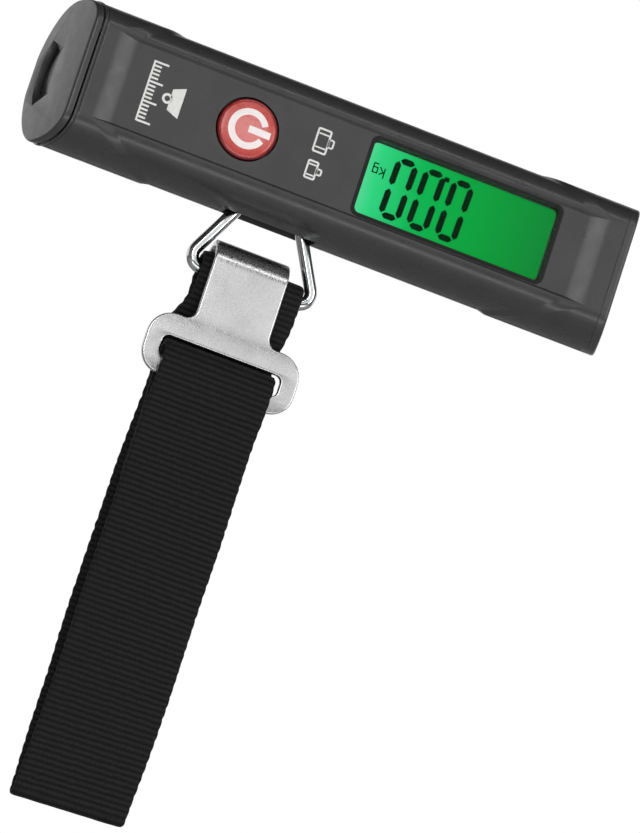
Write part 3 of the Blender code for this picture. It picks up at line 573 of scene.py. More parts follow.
def icon_look():
    look = Look("icon_white", 0.35, 0.0, Coat_Weight=0.2)
    look.colour(look.ramp(look.noise(0.6, 3.0), [(0.3, (0.90, 0.80, 0.79)), (0.7, (0.95, 0.89, 0.87))]))
    look.bump(look.noise(2.0, 2.0), 0.005, 0.3)
    return look.material


def board_look():
    look = Look("board_green", 0.35, 0.0)
    tracks = look.node("ShaderNodeTexBrick")
    tracks.inputs["Scale"].default_value = 0.35
    tracks.inputs["Color1"].default_value = (0.012, 0.12, 0.045, 1)
    tracks.inputs["Color2"].default_value = (0.016, 0.15, 0.055, 1)
    tracks.inputs["Mortar"].default_value = (0.035, 0.24, 0.09, 1)
    look.link(look.place((1, 1, 1)), tracks.inputs["Vector"])
    look.colour(tracks.outputs["Color"])
    look.bump(tracks.outputs["Fac"], 0.03, 0.5)
    return look.material


HOUSING = housing_look()
RING_STEEL = steel_look("ring_steel", (0.62, 0.625, 0.635), 0.13, (0.15, 1, 1), 0.004)
HOOK_STEEL = steel_look("hook_steel", (0.60, 0.60, 0.60), 0.27, (1.0, 1.0, 0.45), 0.006)
SCREW_STEEL = steel_look("screw_steel", (0.30, 0.30, 0.31), 0.35, (1, 0.2, 1))
NICKEL = steel_look("nickel_plate", (0.72, 0.70, 0.66), 0.25, (1, 1, 0.3))
BEAM = steel_look("beam_aluminium", (0.78, 0.78, 0.79), 0.36, (0.1, 1, 1))
BUTTON_RED = button_look()
WINDOW = window_look()
LCD = lcd_look()
SEGMENTS = segment_look()
WEBBING = webbing_look()
PRINT = print_look()
ICON = icon_look()
BOARD = board_look()
WHITE = plain_look("white_plastic", (0.80, 0.80, 0.78), 0.45, vary=0.04)
INNER = plain_look("inner_plastic", (0.045, 0.045, 0.047), 0.5)
FRAME = plain_look("frame_black", (0.006, 0.006, 0.006), 0.4, vary=0.2, Specular_IOR_Level=0.25)
EPOXY = plain_look("black_epoxy", (0.02, 0.02, 0.02), 0.25, grain=0.6, depth=0.05)
RUBBER = plain_look("conductive_rubber", (0.10, 0.10, 0.10), 0.8, grain=3.0)
FILM = plain_look("gauge_film", (0.70, 0.42, 0.10), 0.4)
WIRE_RED = plain_look("wire_red", (0.55, 0.03, 0.03), 0.42)
WIRE_BLACK = plain_look("wire_black", (0.02, 0.02, 0.02), 0.42)

KEPT = {
    "display_window": WINDOW, "lcd_glass": LCD, "backlight_plate": WHITE, "zebra_connector": RUBBER,
    "circuit_board": BOARD, "chip_blob": EPOXY, "buzzer": INNER, "tact_switch": INNER, "battery_tray": INNER,
    "battery_holder": INNER, "coin_cell": NICKEL, "contact_negative": NICKEL, "contact_positive": NICKEL,
    "load_cell_beam": BEAM, "strain_gauge_upper": FILM, "strain_gauge_lower": FILM,
    "load_cell_screw_1": SCREW_STEEL, "load_cell_screw_2": SCREW_STEEL, "eye_bolt": NICKEL,
    "eye_bolt_nut": NICKEL, "shell_screw_1": SCREW_STEEL, "shell_screw_2": SCREW_STEEL,
    "shell_screw_3": SCREW_STEEL, "shell_screw_4": SCREW_STEEL, "gauge_lead": WIRE_RED,
    "battery_lead_negative": WIRE_BLACK, "battery_lead_positive": WIRE_RED,
}


def finish_kept_nodes():
    for name, look in KEPT.items():
        obj = bpy.data.objects[name]
        for slot in obj.material_slots:
            slot.material = look


# ---------------------------------------------------------------- housing


def mix(a, b, t):
    return a + (b - a) * t


def front_point(turn, waist, inset):
    """(y, z) round the front shell: turn 0 is the panel's edge and 1 the parting line."""
    angle = turn * math.pi / 2
    half_height = mix(END_HALF_HEIGHT, WAIST_HALF_HEIGHT, waist)
    lip = PANEL_LIP * waist if inset <= 0 else 0
    depth = -FRONT_Y - PANEL_RECESS * waist + lip - inset
    rise = half_height - PANEL_HALF - inset
    # slightly squarer than an ellipse, so that the chamfer reads as a face of its own
    power = 0.90
    across = math.cos(angle) ** power
    up = math.sin(angle) ** power
    return -depth * across, PANEL_HALF + rise * up


def rear_point(turn, waist, inset):
    angle = turn * math.pi / 2
    half_height = mix(END_HALF_HEIGHT, WAIST_HALF_HEIGHT, waist) - inset
    return min((REAR_SEMI_DEPTH - inset) * math.sin(angle), REAR_Y - inset), half_height * math.cos(angle)


def end_x(y, front_half):
    return front_half + END_SLOPE * (y - FRONT_Y)


def smooth(t):
    return t * t * (3 - 2 * t)


# the raised rim and groove at the shell's end: (mm back from the end, share of END_RIM)
RIM_PROFILE = ((0, 0.3), (0.10, 0.9), (0.28, 1.0), (0.50, 0.9), (0.66, 0.0), (0.84, -0.8), (1.10, -0.1), (1.3, 0.0))


def stations(turn, y):
    """Where the shell's cross-sections lie: (x, share of the waist, share of the rim) from end to end."""
    outer = RAMP_OUTER_X - RAMP_SWEEP * turn
    inner = outer - RAMP_LENGTH * (1 - RAMP_NARROWING * turn)
    end = end_x(y, SHELL_FRONT_HALF)
    half = [(end - back * MM, 0.0, rim) for back, rim in RIM_PROFILE]
    half += [(mix(end, outer, 0.7), 0.0, 0.0), (outer + 0.25 * MM, 0.0, 0.0)]
    for k in range(9):
        t = k / 8
        half.append((mix(outer, inner, t), mix(t, smooth(t), 0.2), 0.0))
    half += [(inner - 0.3 * MM, 1.0, 0.0)]
    half += [(inner * share, 1.0, 0.0) for share in (0.9, 0.75, 0.6, 0.45, 0.3, 0.15, 0.04)]
    return [(-x, waist, rim) for x, waist, rim in half] + [(x, waist, 0.0) for x, waist, _ in half[::-1]]


def shell_rows(corner, turns):
    """Rings for a shell: outer line then inner line back, each with its own x at each station."""
    count = len(stations(0, 0))
    rings = [[] for _ in range(count)]
    for inset, order in ((0.0, 1), (WALL, -1)):
        line = [(turn, 1, False) for turn in turns]
        if corner is front_point:
            line += [(0.0, 1, True), (0.0, -1, True)]
        line += [(turn, -1, False) for turn in reversed(turns)]
        for turn, side, foot in line[::order]:
            y_end = corner(turn, 0.0, 0.0)[0]
            for ring, (x, waist, rim) in zip(rings, stations(turn if corner is front_point else 1.0, y_end)):
                out = END_RIM * rim if inset == 0 else 0.0
                y, z = corner(turn, waist, inset - out)
                if foot:
                    y = FRONT_Y + PANEL_RECESS * waist + inset - out
                    z -= PANEL_FOOT_IN * max(waist, 0.15)
                ring.append((x, y, side * z))
    return rings


def parting_turn(corner):
    if corner is front_point:
        turn = 1.0
        while -front_point(turn, 0.0, 0.0)[0] < GAP / 2:
            turn -= 0.0005
        return turn
    return math.asin(GAP / 2 / REAR_SEMI_DEPTH) / (math.pi / 2)


def ring_slot_mesh():
    x_half, y_half = RING_SLOT_HALF
    return box_mesh("ring slot", (RING_X - x_half, -y_half, -22 * MM), (RING_X + x_half, y_half, -12 * MM))


def make_front_shell():
    last = parting_turn(front_point)
    turns = [last * (1 - i / 20) for i in range(21)]
    shell = grid_mesh("front_housing", shell_rows(front_point, turns), close_columns=True, caps=True)
    steps = []
    for x, z in SHELL_SCREW_PLACES:
        steps.append(("UNION", cylinder_mesh("boss", 3.1 * MM, (x, -GAP / 2, z), (x, -11.0 * MM, z), 24)))
    for x, z in SHELL_SCREW_PLACES:
        steps.append(("DIFFERENCE", cylinder_mesh("hole", 1.45 * MM, (x, 1 * MM, z), (x, -7 * MM, z), 16)))
    steps.append(("DIFFERENCE", cylinder_mesh(
        "button hole", BUTTON_RADIUS + GAP, (BUTTON_X, -16 * MM, 0), (BUTTON_X, PANEL_Y + 4 * MM, 0), 96)))
    window = rectangle(WINDOW_SIZE[0] / 2 + 0.2 * MM, WINDOW_SIZE[1] / 2 + 0.2 * MM, WINDOW_CORNER + 0.2 * MM)
    steps.append(("DIFFERENCE", outline_mesh("window hole", [window], 4 * MM, facing_front(WINDOW_X, PANEL_Y))))
    steps.append(("DIFFERENCE", ring_slot_mesh()))
    mesh = eased(carve(shell, steps), 0.20 * MM, 36)
    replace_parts(add_mesh("front_housing", mesh, "handle", HOUSING, 30, flat=True), "front_shell")


def make_rear_shell():
    first = parting_turn(rear_point)
    turns = [first + (1 - first) * i / 29 for i in range(30)]
    shell = grid_mesh("rear_housing", shell_rows(rear_point, turns[:-1]), close_columns=True, caps=True)
    steps = [("UNION", box_mesh("beam pad", (17.5 * MM, 5.1 * MM, 1.8 * MM), (33.5 * MM, 12.0 * MM, 8.6 * MM)))]
    for x, z in SHELL_SCREW_PLACES:
        steps.append(("UNION", cylinder_mesh("boss", 3.6 * MM, (x, GAP / 2, z), (x, 9.6 * MM, z), 24)))
    steps.append(("DIFFERENCE", ring_slot_mesh()))
    for x, z in SHELL_SCREW_PLACES:
        steps.append(("DIFFERENCE", cylinder_mesh("well", 2.6 * MM, (x, SHELL_SCREW_HEAD_Y, z), (x, 16 * MM, z), 36)))
        steps.append(("DIFFERENCE", cylinder_mesh("hole", 1.45 * MM, (x, -1 * MM, z), (x, 8 * MM, z), 16)))
    for x in (22.0 * MM, 29.0 * MM):
        z = 5.2 * MM
        steps.append(("DIFFERENCE", cylinder_mesh("pad hole", 1.8 * MM, (x, 3.8 * MM, z), (x, 10.2 * MM, z), 16)))
    mesh = eased(carve(shell, steps), 0.16 * MM, 55)
    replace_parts(add_mesh("rear_housing", mesh, "handle", HOUSING, 30), "rear_shell")


def end_outline(inset):
    front = [front_point(1 - i / 20, 0.0, inset) for i in range(21)]
    rear = [rear_point(i / 28, 0.0, inset) for i in range(1, 28)]
    upper = rear[::-1] + front
    lower = [(y, -z) for y, z in front[::-1]] + [(y, -z) for y, z in rear]
    return upper + lower


def cap_mesh(name, side, seam):
    inner = SHELL_FRONT_HALF + seam
    outer = SHELL_FRONT_HALF + CAP_SEAM + CAP_THICKNESS
    layers = [(inner, 0.06), (inner + 0.08 * MM, 0.0), (outer - 0.65 * MM, 0.0)]
    layers += [(outer - 0.65 * MM * (1 - math.sin(a)), 0.65 * (1 - math.cos(a))) for a in (0.4, 0.8, 1.2, 1.5707)]
    rows = [[(side * end_x(y, half), y, z) for y, z in end_outline(inset * MM)] for half, inset in layers]
    return grid_mesh(name, rows, close_columns=True, caps=True)


def scoop_mesh():
    """The finger slot, widened towards the front of the cap by a sloping flank."""
    centre = (PULL_CENTRE_Y, 0)
    surface_x = -end_x(8.4 * MM, SHELL_FRONT_HALF + CAP_SEAM + CAP_THICKNESS)

    def outline(reach):
        outside = arc(centre, PULL_RADIUS + PULL_HALF_WIDTH, -PULL_HALF_ANGLE, PULL_HALF_ANGLE, 24)
        inside = arc(centre, PULL_RADIUS - PULL_HALF_WIDTH, PULL_HALF_ANGLE, -PULL_HALF_ANGLE, 24)
        chord = [(SCOOP_CHORD_Y + 0.9 * MM * (z / (6.6 * MM)) ** 2, z * 1.12) for _, z in inside]
        return outside + [(mix(a[0], b[0], reach), mix(a[1], b[1], reach)) for a, b in zip(inside, chord)]

    layers = [(surface_x + 8 * MM, 0.0), (surface_x + 0.72 * MM, 0.0), (surface_x + 0.32 * MM, 0.5),
              (surface_x - 0.08 * MM, 1.0), (surface_x - 3 * MM, 1.0)]
    rows = []
    for x, reach in layers:
        rows.append([(x - END_SLOPE * (y - 8.4 * MM), y, z) for y, z in outline(reach)])
    return grid_mesh("scoop", rows, close_columns=True, caps=True)


def make_caps():
    mesh = eased(carve(cap_mesh("battery_cover", -1, CAP_SEAM), [("DIFFERENCE", scoop_mesh())]), 0.18 * MM, 38)
    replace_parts(add_mesh("battery_cover", mesh, "battery_drawer", HOUSING, 30), "battery_cap")
    steps = [("UNION", box_mesh("tab", (62 * MM, -4 * MM, z - 1.1 * MM), (69 * MM, 4 * MM, z + 1.1 * MM)))
             for z in (-13.2 * MM, 13.2 * MM)]
    mesh = carve(cap_mesh("end_cover", 1, 0.05 * MM), steps)
    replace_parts(add_mesh("end_cover", mesh, "handle", HOUSING, 30), "display_end_cap")


# ---------------------------------------------------------------- button, display and printed marks


def flat_mark(name, loops_list, y, body, look, thickness=0.06 * MM, ease=0.0):
    """Thin shapes on a face that looks to the front: each item is a list of loops in (x, z)."""
    work = bmesh.new()
    for loops in loops_list:
        mesh = outline_mesh(name, loops, thickness / 2, facing_front(0, y - thickness / 2), ease)
        work.from_mesh(mesh)
        bpy.data.meshes.remove(mesh)
    mesh = bpy.data.meshes.new(name)
    work.to_mesh(mesh)
    work.free()
    return add_mesh(name, mesh, body, look, 30)


def button_y(radius):
    """Height of the domed face at this distance from its middle."""
    return -13.42 * MM + 0.62 * MM * (radius / (6.4 * MM)) ** 2.2


def make_button():
    radii = [0.001 * MM] + [r * MM for r in (0.8, 1.6, 2.4, 3.2, 4.0, 4.8, 5.5, 6.0, 6.3)]
    profile = [(r, button_y(r)) for r in radii]
    profile += [(6.48 * MM, -12.72 * MM), (6.60 * MM, -12.66 * MM), (6.75 * MM, -12.74 * MM), (6.95 * MM, -12.62 * MM),
                (7.12 * MM, -12.38 * MM), (BUTTON_RADIUS, -12.0 * MM), (BUTTON_RADIUS, LCD_Y), (8.6 * MM, LCD_Y),
                (8.6 * MM, LCD_Y + 0.8 * MM), (0.001 * MM, LCD_Y + 0.8 * MM)]
    mesh = turned_mesh("red_button", profile, (BUTTON_X, 0), 96)
    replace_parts(add_mesh("red_button", mesh, "power_button", BUTTON_RED, 40), "power_button")

    def lifted(name, points):
        """A raised band on the dome along a line of (x, z) points, each with its half width."""
        rows = []
        for i, (x, z, half) in enumerate(points):
            back, ahead = points[max(i - 1, 0)], points[min(i + 1, len(points) - 1)]
            along = Vector((ahead[0] - back[0], ahead[1] - back[1])).normalized()
            side = Vector((-along.y, along.x))
            row = []
            rising = [(-1, -0.05), (-0.96, 0.05), (-0.7, 0.08), (-0.35, 0.085)]
            for share, lift in rising + [(0, 0.09)] + [(-share, lift) for share, lift in rising[::-1]]:
                px, pz = x + side.x * half * share, z + side.y * half * share
                row.append((BUTTON_X + px, button_y(math.hypot(px, pz)) - lift * MM, pz))
            rows.append(row)
        return add_mesh(name, grid_mesh(name, rows, caps=False), "power_button", ICON, 50)

    gap = math.radians(25)
    ring = []
    for k in range(61):
        a = gap + (2 * math.pi - 2 * gap) * k / 60
        end = min(k, 60 - k)
        ring.append((4.0 * MM * math.cos(a), 4.0 * MM * math.sin(a), (0.80 if end > 0 else 0.74) * MM))
    lifted("power_mark_ring", ring)
    bar = [(x * MM, 0.0, 0.86 * MM) for x in (0.0, 0.6, 1.2, 1.8, 2.4, 3.0, 3.6, 4.2, 4.8, 5.4)]
    lifted("power_mark_bar", bar)


def seven_segment(x, z_half, x_half, stroke):
    """The six lit segments of a figure nought, pointed where they meet; a loop of (x, z) for each."""
    s = stroke / 2
    g = 0.28 * MM
    lean = 0.035
    shapes = []
    for side in (-1, 1):
        cx = side * x_half
        for top, low in ((z_half - g, g * 1.6), (-g * 1.6, -z_half + g)):
            shapes.append([(cx - s, top - s), (cx, top), (cx + s, top - s),
                           (cx + s, low + s), (cx, low), (cx - s, low + s)])
    for side in (-1, 1):
        cz = side * z_half
        left, right = -x_half + g, x_half - g
        shapes.append([(left, cz), (left + s, cz + s), (right - s, cz + s),
                       (right, cz), (right - s, cz - s), (left + s, cz - s)])
    return [[[(x + px + lean * pz, pz) for px, pz in shape]] for shape in shapes]


def make_display():
    shapes = []
    for centre in (12.05, 19.0, 26.1):
        shapes += seven_segment(centre * MM, 6.75 * MM, 2.06 * MM, 1.50 * MM)
    shapes.append([[(22.2 * MM + x, 6.35 * MM + z) for x, z in rectangle(0.62 * MM, 0.55 * MM, 0.15 * MM, 2)]])
    # a small k and g, upside down like the figures
    k_x, g_x, z0 = 7.05 * MM, 5.35 * MM, 2.3 * MM
    t = 0.30 * MM

    def bar(x1, z1, x2, z2, half=t / 2):
        along = Vector((x2 - x1, z2 - z1)).normalized()
        side = Vector((-along.y, along.x)) * half
        return [[(x1 + side.x, z1 + side.y), (x2 + side.x, z2 + side.y),
                 (x2 - side.x, z2 - side.y), (x1 - side.x, z1 - side.y)]]

    u = 1.25 * MM
    shapes += [bar(k_x + 0.62 * MM, z0 - u, k_x + 0.62 * MM, z0 + u),
               bar(k_x + 0.5 * MM, z0 + 0.2 * MM, k_x - 0.55 * MM, z0 - 0.55 * MM),
               bar(k_x + 0.3 * MM, z0 + 0.15 * MM, k_x - 0.6 * MM, z0 + u)]
    shapes += [bar(g_x + 0.6 * MM, z0 - 0.45 * MM, g_x + 0.6 * MM, z0 + 0.85 * MM),
               bar(g_x + 0.72 * MM, z0 - 0.45 * MM, g_x - 0.6 * MM, z0 - 0.45 * MM),
               bar(g_x + 0.72 * MM, z0 + 0.85 * MM, g_x - 0.6 * MM, z0 + 0.85 * MM),
               bar(g_x - 0.5 * MM, z0 - 0.55 * MM, g_x - 0.5 * MM, z0 + 1.75 * MM),
               bar(g_x - 0.5 * MM, z0 + 1.75 * MM, g_x + 0.6 * MM, z0 + 1.75 * MM)]
    flat_mark("lcd_figures", shapes, LCD_Y - 0.02 * MM, "handle", SEGMENTS, 0.05 * MM)
    inner = rectangle(WINDOW_SIZE[0] / 2 - 0.15 * MM, WINDOW_SIZE[1] / 2 - 0.15 * MM, WINDOW_CORNER)
    outer = rectangle(WINDOW_SIZE[0] / 2 + 1.4 * MM, WINDOW_SIZE[1] / 2 + 0.95 * MM, WINDOW_CORNER)
    shift = lambda loop: [(WINDOW_X + x, z) for x, z in loop]
    frame_in = rectangle(WINDOW_SIZE[0] / 2 + 0.08 * MM, WINDOW_SIZE[1] / 2 + 0.08 * MM, WINDOW_CORNER)
    frame_out = rectangle(WINDOW_SIZE[0] / 2 + 0.95 * MM, WINDOW_SIZE[1] / 2 + 0.95 * MM, WINDOW_CORNER + 0.6 * MM)
    flat_mark("window_frame", [[shift(frame_out), shift(frame_in)]], PANEL_Y, "handle", FRAME, 0.16 * MM, 0.05 * MM)
    flat_mark("lcd_mask", [[shift(outer), shift(inner)]], LCD_Y - 0.02 * MM, "handle", INNER, 0.12 * MM)


def make_prints():
    """Plain marks in place of lettering: a tick scale and a weight, then two suitcases."""
    y = PANEL_Y
    shapes = []

    def box(x1, z1, x2, z2):
        return [[(x1 * MM, z1 * MM), (x2 * MM, z1 * MM), (x2 * MM, z2 * MM), (x1 * MM, z2 * MM)]]

    shapes.append(box(-51.6, -7.4, -51.15, 7.4))
    for k in range(16):
        z = -7.2 + 0.96 * k
        length = 3.2 if k % 5 == 0 else 1.7
        shapes.append(box(-51.15, z - 0.24, -51.15 + length, z + 0.24))
    weight = [(-42.4, -3.7), (-42.4, 3.7), (-45.4, 2.5), (-45.4, -2.5)]
    shapes.append([[(x * MM, z * MM) for x, z in weight]])
    shapes.append([arc((-46.05 * MM, 0), radius * MM, 0, 2 * math.pi * 23 / 24, 23) for radius in (1.25, 0.65)])
    flat_mark("scale_marks", shapes, y, "handle", PRINT, 0.05 * MM)

    shapes = []
    for z, x_half, z_half in ((3.7, 1.75, 3.0), (-3.5, 1.4, 2.3)):
        x = -10.6 + x_half
        frames = ((x, z, x_half, z_half, 0.45), (x + x_half + 0.45, z, 0.75, z_half * 0.38, 0.4))
        for cx, cz, half_x, half_z, line in frames:
            outer = [((cx + a / MM) * MM, (cz + b / MM) * MM)
                     for a, b in rectangle(half_x * MM, half_z * MM, 0.5 * MM, 4)]
            inner = [((cx + a / MM) * MM, (cz + b / MM) * MM)
                     for a, b in rectangle((half_x - line) * MM, (half_z - line) * MM, 0.2 * MM, 4)]
            shapes.append([outer, inner])
        for side in (-1, 1):
            strap_z = z + side * z_half * 0.55
            shapes.append(box(x - x_half + 0.5, strap_z - 0.18, x + x_half - 0.5, strap_z + 0.18))
    flat_mark("case_marks", shapes, y, "handle", PRINT, 0.05 * MM)


# ---------------------------------------------------------------- ring and hook plate


def make_ring():
    sharp_z = RING_BAR_Z + RING_CORNER_X / math.tan(RING_LEG_ANGLE)
    corners = [(RING_CORNER_X, RING_BAR_Z, RING_CORNER_RADIUS), (0, sharp_z, RING_APEX_RADIUS),
               (-RING_CORNER_X, RING_BAR_Z, RING_CORNER_RADIUS)]
    points = rounded(corners, 24)
    line, _ = even_line([*[Vector((x, z)) for x, z in points], Vector(points[0])], 0.8 * MM)
    line = line[:-1]
    rows = []
    count = len(line)
    for i, point in enumerate(line):
        along = (line[(i + 1) % count] - line[i - 1]).normalized()
        side = Vector((-along.y, along.x))
        row = []
        for k in range(24):
            a = 2 * math.pi * k / 24
            out = side * math.cos(a) * RING_WIRE
            row.append((RING_X + point.x + out.x, math.sin(a) * RING_WIRE, point.y + out.y))
        rows.append(row)
    mesh = grid_mesh("steel_ring", rows, close_rows=True, close_columns=True)
    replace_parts(add_mesh("steel_ring", mesh, "ring", RING_STEEL, 60), "suspension_ring")


def make_hook_plate():
    roll = math.pi - HOOK_END_ANGLE
    tall = HOOK_CENTRE_Z + roll * -PLATE_MIDDLE_Y
    half = [(HOOK_HALF_WIDTH, tall, 1.1 * MM), (HOOK_HALF_WIDTH, SHOULDER_TOP_Z, 2.4 * MM),
            (SHOULDER_HALF_WIDTH, SHOULDER_TOP_Z, 5.8 * MM), (SHOULDER_HALF_WIDTH, PLATE_BOTTOM_Z, 5.4 * MM)]
    outline = rounded(half + [(-x, z, r) for x, z, r in half[::-1]], 14)
    middle = sum(SLOT_Z) / 2
    slot = [(x, middle + z) for x, z in rectangle(SLOT_HALF_WIDTH, (SLOT_Z[1] - SLOT_Z[0]) / 2, 1.5 * MM, 10)]
    place = facing_front(PLATE_X, PLATE_MIDDLE_Y)
    mesh = outline_mesh("steel_hook", [outline, slot], PLATE_THICKNESS / 2, place, 0.42 * MM, 3)

    def roll_over(work):
        z = HOOK_CENTRE_Z
        while z < tall:
            geometry = work.verts[:] + work.edges[:] + work.faces[:]
            bmesh.ops.bisect_plane(work, geom=geometry, plane_co=(0, 0, z), plane_no=(0, 0, 1))
            z += 0.45 * MM
        for vertex in work.verts:
            if vertex.co.z > HOOK_CENTRE_Z:
                angle = math.pi - (vertex.co.z - HOOK_CENTRE_Z) / -PLATE_MIDDLE_Y
                radius = -vertex.co.y
                vertex.co.y = radius * math.cos(angle)
                vertex.co.z = HOOK_CENTRE_Z + radius * math.sin(angle)

    reworked(mesh, roll_over)
    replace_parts(add_mesh("steel_hook", mesh, "hook", HOOK_STEEL, 32), "hook_plate")


# ---------------------------------------------------------------- webbing


def web_mesh(name, route, half_width, start_length=0.0, centre=WEB_X):
    """A ribbed strip of webbing along a line of (y, z): half_width(y, z) gives its two edges' distance."""
    line, total = even_line(route, RIB_PITCH / 6)
    columns = 34
    edge_steps = 4
    rows = []
    uv_rows = []
    count = len(line)
    for i, point in enumerate(line):
        s = start_length + total * i / (count - 1)
        along = (line[min(i + 1, count - 1)] - line[max(i - 1, 0)]).normalized()
        normal = Vector((-along.y, along.x))
        low, high = half_width(point.x, point.y)
        scallop = 0.16 * MM * abs(math.sin(math.pi * s / (2 * RIB_PITCH))) + 0.10 * MM * noise.noise((s * 900, 3.1, 0))
        low, high = low - scallop, high + scallop
        drift = 0.22 * MM * noise.noise((s * 60, 7.7, 0))
        row, uvs = [], []
        across = [-1 + 2 * k / columns for k in range(columns + 1)]

        def place(share, out):
            x = centre + drift + (low + high) / 2 + (high - low) / 2 * share
            wave = 0.16 * MM * noise.noise((x * 220, s * 90, 0.5))
            phase = (s + 0.25 * MM * noise.noise((x * 260, s * 30, 9.0))) / RIB_PITCH
            rib = abs(math.sin(math.pi * phase)) ** 0.75
            fade = 1 - max(0.0, abs(share) - 0.94) / 0.06
            lift = out * (WEB_THICKNESS / 2 - 0.15 * MM + 0.17 * MM * rib * fade) + wave * 0.3
            y = point.x + normal.x * lift
            z = point.y + normal.y * lift
            skew = FOLD_SKEW * smooth(min(max((-105 * MM - point.y) / (50 * MM), 0.0), 1.0))
            return (x, y, z + skew * (x - centre)), (x, s)

        for share in across:
            p, uv = place(share, 1)
            row.append(p)
            uvs.append(uv)
        for k in range(1, edge_steps):
            a = math.pi * k / edge_steps
            p1, uv = place(1, math.cos(a))
            row.append((p1[0] + math.sin(a) * 0.28 * MM, p1[1], p1[2]))
            uvs.append((uv[0] + 0.3 * MM, s))
        for share in across[::-1]:
            p, uv = place(share, -1)
            row.append(p)
            uvs.append(uv)
        for k in range(1, edge_steps):
            a = math.pi * (1 - k / edge_steps)
            p1, uv = place(-1, math.cos(a))
            row.append((p1[0] - math.sin(a) * 0.28 * MM, p1[1], p1[2]))
            uvs.append((uv[0] - 0.3 * MM, s))
        rows.append(row)
        uv_rows.append(uvs)
    mesh = bpy.data.meshes.new(name)
    wide = len(rows[0])
    faces = []
    for i in range(count - 1):
        for k in range(wide):
            j = (k + 1) % wide
            faces.append((i * wide + k, i * wide + j, (i + 1) * wide + j, (i + 1) * wide + k))
    faces.append(tuple(range(wide)))
    faces.append(tuple((count - 1) * wide + k for k in range(wide))[::-1])
    mesh.from_pydata([p for row in rows for p in row], [], faces)
    flat_uv = [uv for uvs in uv_rows for uv in uvs]
    layer = mesh.uv_layers.new(name="weave")
    layer.data.foreach_set("uv", [c for loop in mesh.loops for c in flat_uv[loop.vertex_index]])
    return reworked(mesh, lambda work: None), total


def full_width(y, z):
    return -WEB_HALF_WIDTH, WEB_HALF_WIDTH


def ring_width(y, z):
    """Drawn in a little where it passes through the ring."""
    share = smooth(min(max((z + 46 * MM) / (9 * MM), 0.0), 1.0))
    low = RING_X - RING_LOOP_HALF_WIDTH - WEB_X
    high = RING_X + RING_LOOP_HALF_WIDTH - WEB_X
    return mix(-WEB_HALF_WIDTH, low + 0.1 * MM, share), mix(WEB_HALF_WIDTH, high - 0.1 * MM, share)


def mm_line(points, steps=10):
    return smooth_line([(y * MM, z * MM) for y, z in points], steps)


def make_webbing():
    split_z = -62.5
    ring_radius = 3.55
    loop = [(0.35, split_z + 0.6), (-0.35, -56.0), (-0.62, -50.0), (-0.75, -45.0), (-2.1, -39.5)]
    loop = mm_line(loop)
    round_bar = arc((0, RING_BAR_Z / MM), ring_radius, math.radians(200), math.radians(-20), 40)
    loop += [Vector((y * MM, z * MM)) for y, z in round_bar]
    loop += mm_line([(2.1, -39.5), (0.70, -45.0), (0.66, -50.0), (0.95, -56.0), (1.6, split_z)])
    mesh, loop_length = web_mesh("webbing_ring_loop", loop, ring_width, 0.0)
    ring_loop = add_mesh("webbing_ring_loop", mesh, "strap", WEBBING, 60)
    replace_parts(ring_loop, "strap_back")

    fold_radius = FOLD_RADIUS / MM
    fold_z = FOLD_Z / MM + WEB_THICKNESS / 2 / MM + fold_radius
    y = PLATE_MIDDLE_Y / MM
    bar_z = (PLATE_BOTTOM_Z + SLOT_Z[0]) / 2 / MM
    down = mm_line([(1.6, split_z), (4.2, -80), (5.2, -100), (4.9, -122), (3.6, -143), (1.9, fold_z + 1)])
    fold = [Vector((a * MM, b * MM)) for a, b in arc((0, fold_z), fold_radius, 0, -math.pi, 24)]
    up = mm_line([(-1.9, fold_z + 1), (-4.0, -143), (-5.6, -122), (-6.2, -100), (-6.0, -84), (y - 0.6, -69.0),
                  (y - 2.5, -62.0)])
    top = [Vector(((y + 3.15 * math.cos(a)) * MM, (bar_z + 1.6 + 4.25 * math.sin(a)) * MM))
           for a in (math.pi * (1 - k / 30) for k in range(31))]
    tail = mm_line([(y + 2.5, -62.0), (y + 0.66, -69.0), (y + 0.62, -76.0), (y + 0.66, -84.0)])
    mesh, strap_length = web_mesh("webbing_strap", down + fold + up + top + tail, full_width, loop_length)
    strap = add_mesh("webbing_strap", mesh, None, WEBBING, 60)
    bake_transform(strap)
    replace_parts(strap, "strap_front")


# ---------------------------------------------------------------- studio


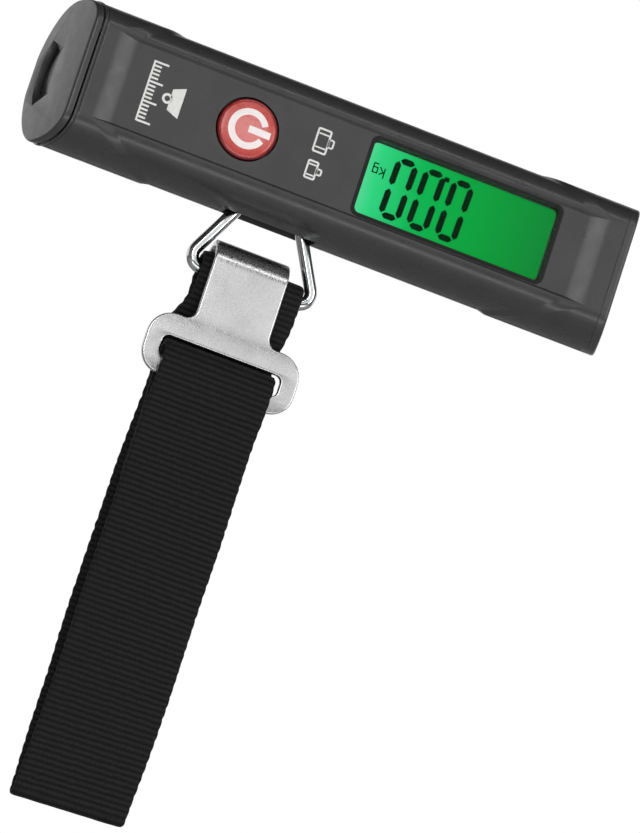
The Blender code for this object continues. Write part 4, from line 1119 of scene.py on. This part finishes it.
def make_studio():
    """A pale floor, a surround that is white behind, grey in front and dark overhead, and five soft boxes."""
    world = bpy.data.worlds.new("studio")
    bpy.context.scene.world = world
    world.use_nodes = True
    tree = world.node_tree
    background = tree.nodes["Background"]
    coordinates = tree.nodes.new("ShaderNodeTexCoord")
    split = tree.nodes.new("ShaderNodeSeparateXYZ")
    tree.links.new(coordinates.outputs["Generated"], split.inputs["Vector"])

    def ramp(output, stops):
        made = tree.nodes.new("ShaderNodeValToRGB")
        for element, (position, grey) in zip(made.color_ramp.elements, stops):
            element.position = position
            element.color = (grey, grey, grey, 1)
        spread = tree.nodes.new("ShaderNodeMapRange")
        spread.inputs["From Min"].default_value = -1
        tree.links.new(output, spread.inputs["Value"])
        tree.links.new(spread.outputs["Result"], made.inputs["Fac"])
        return made.outputs["Color"]

    depth = ramp(split.outputs["Y"], [(0.44, 0.16), (0.62, 1.0)])
    height = ramp(split.outputs["Z"], [(0.70, 1.0), (0.84, 0.015)])
    both = tree.nodes.new("ShaderNodeMixRGB")
    both.blend_type = "MULTIPLY"
    both.inputs["Fac"].default_value = 1.0
    tree.links.new(depth, both.inputs["Color1"])
    tree.links.new(height, both.inputs["Color2"])
    tree.links.new(both.outputs["Color"], background.inputs["Color"])
    background.inputs["Strength"].default_value = 1.0

    grid = mesh_of("floor", lambda work: bmesh.ops.create_grid(work, x_segments=2, y_segments=2, size=4.0))
    floor = bpy.data.objects.new("floor", grid)
    bpy.context.scene.collection.objects.link(floor)
    floor.location = (0, 0, -0.62)
    look = Look("pale_floor", 0.7)
    look.colour(look.ramp(look.noise(0.004, 3.0), [(0.3, (0.78, 0.78, 0.78)), (0.7, (0.82, 0.82, 0.82))]))
    floor.data.materials.append(look.material)

    def soft_box(name, place, size, radiance):
        lamp = bpy.data.lights.new(name, "AREA")
        lamp.shape = "RECTANGLE"
        lamp.size, lamp.size_y = size
        lamp.energy = math.pi * size[0] * size[1] * radiance
        obj = bpy.data.objects.new(name, lamp)
        bpy.context.scene.collection.objects.link(obj)
        obj.location = place
        aim = Vector((0, 0, -0.05)) - Vector(place)
        obj.rotation_euler = aim.to_track_quat("-Z", "Y").to_euler()

    soft_box("soft_front", (0.42, -1.80, 0.40), (1.20, 0.62), 0.95)
    soft_box("soft_right", (1.35, -1.40, 0.30), (0.55, 1.20), 5.0)
    soft_box("soft_left", (-0.62, -1.75, 0.35), (0.50, 1.20), 5.2)
    soft_box("soft_high", (0.30, -1.25, 1.05), (1.60, 0.16), 4.5)
    soft_box("soft_low", (0.05, -0.75, -0.56), (1.4, 0.22), 2.6)


def make_camera():
    azimuth, elevation, roll = math.radians(-12.0), math.radians(-12.0), math.radians(18.04)
    distance = 1.45
    view_height = 0.19097
    level_share = math.cos(elevation)
    back = Vector((math.sin(azimuth) * level_share, -math.cos(azimuth) * level_share, math.sin(elevation)))
    level = Vector((math.cos(azimuth), math.sin(azimuth), 0))
    upright = back.cross(level)
    right = level * math.cos(roll) + upright * math.sin(roll)
    up = upright * math.cos(roll) - level * math.sin(roll)
    data = bpy.data.cameras.new("camera")
    data.sensor_width = 36
    data.lens = 36 * distance / view_height
    data.clip_end = 20
    camera = bpy.data.objects.new("camera", data)
    bpy.context.scene.collection.objects.link(camera)
    turn = Matrix((right, up, back)).transposed().to_4x4()
    camera.matrix_world = Matrix.Translation(Vector((0.0132, 0, -0.0541)) + back * distance) @ turn
    bpy.context.scene.camera = camera
    bpy.context.scene.view_settings.view_transform = "Standard"


finish_kept_nodes()
make_front_shell()
make_rear_shell()
make_caps()
make_button()
make_display()
make_prints()
make_ring()
make_hook_plate()
make_webbing()
make_studio()
make_camera()

bpy.context.view_layer.update()
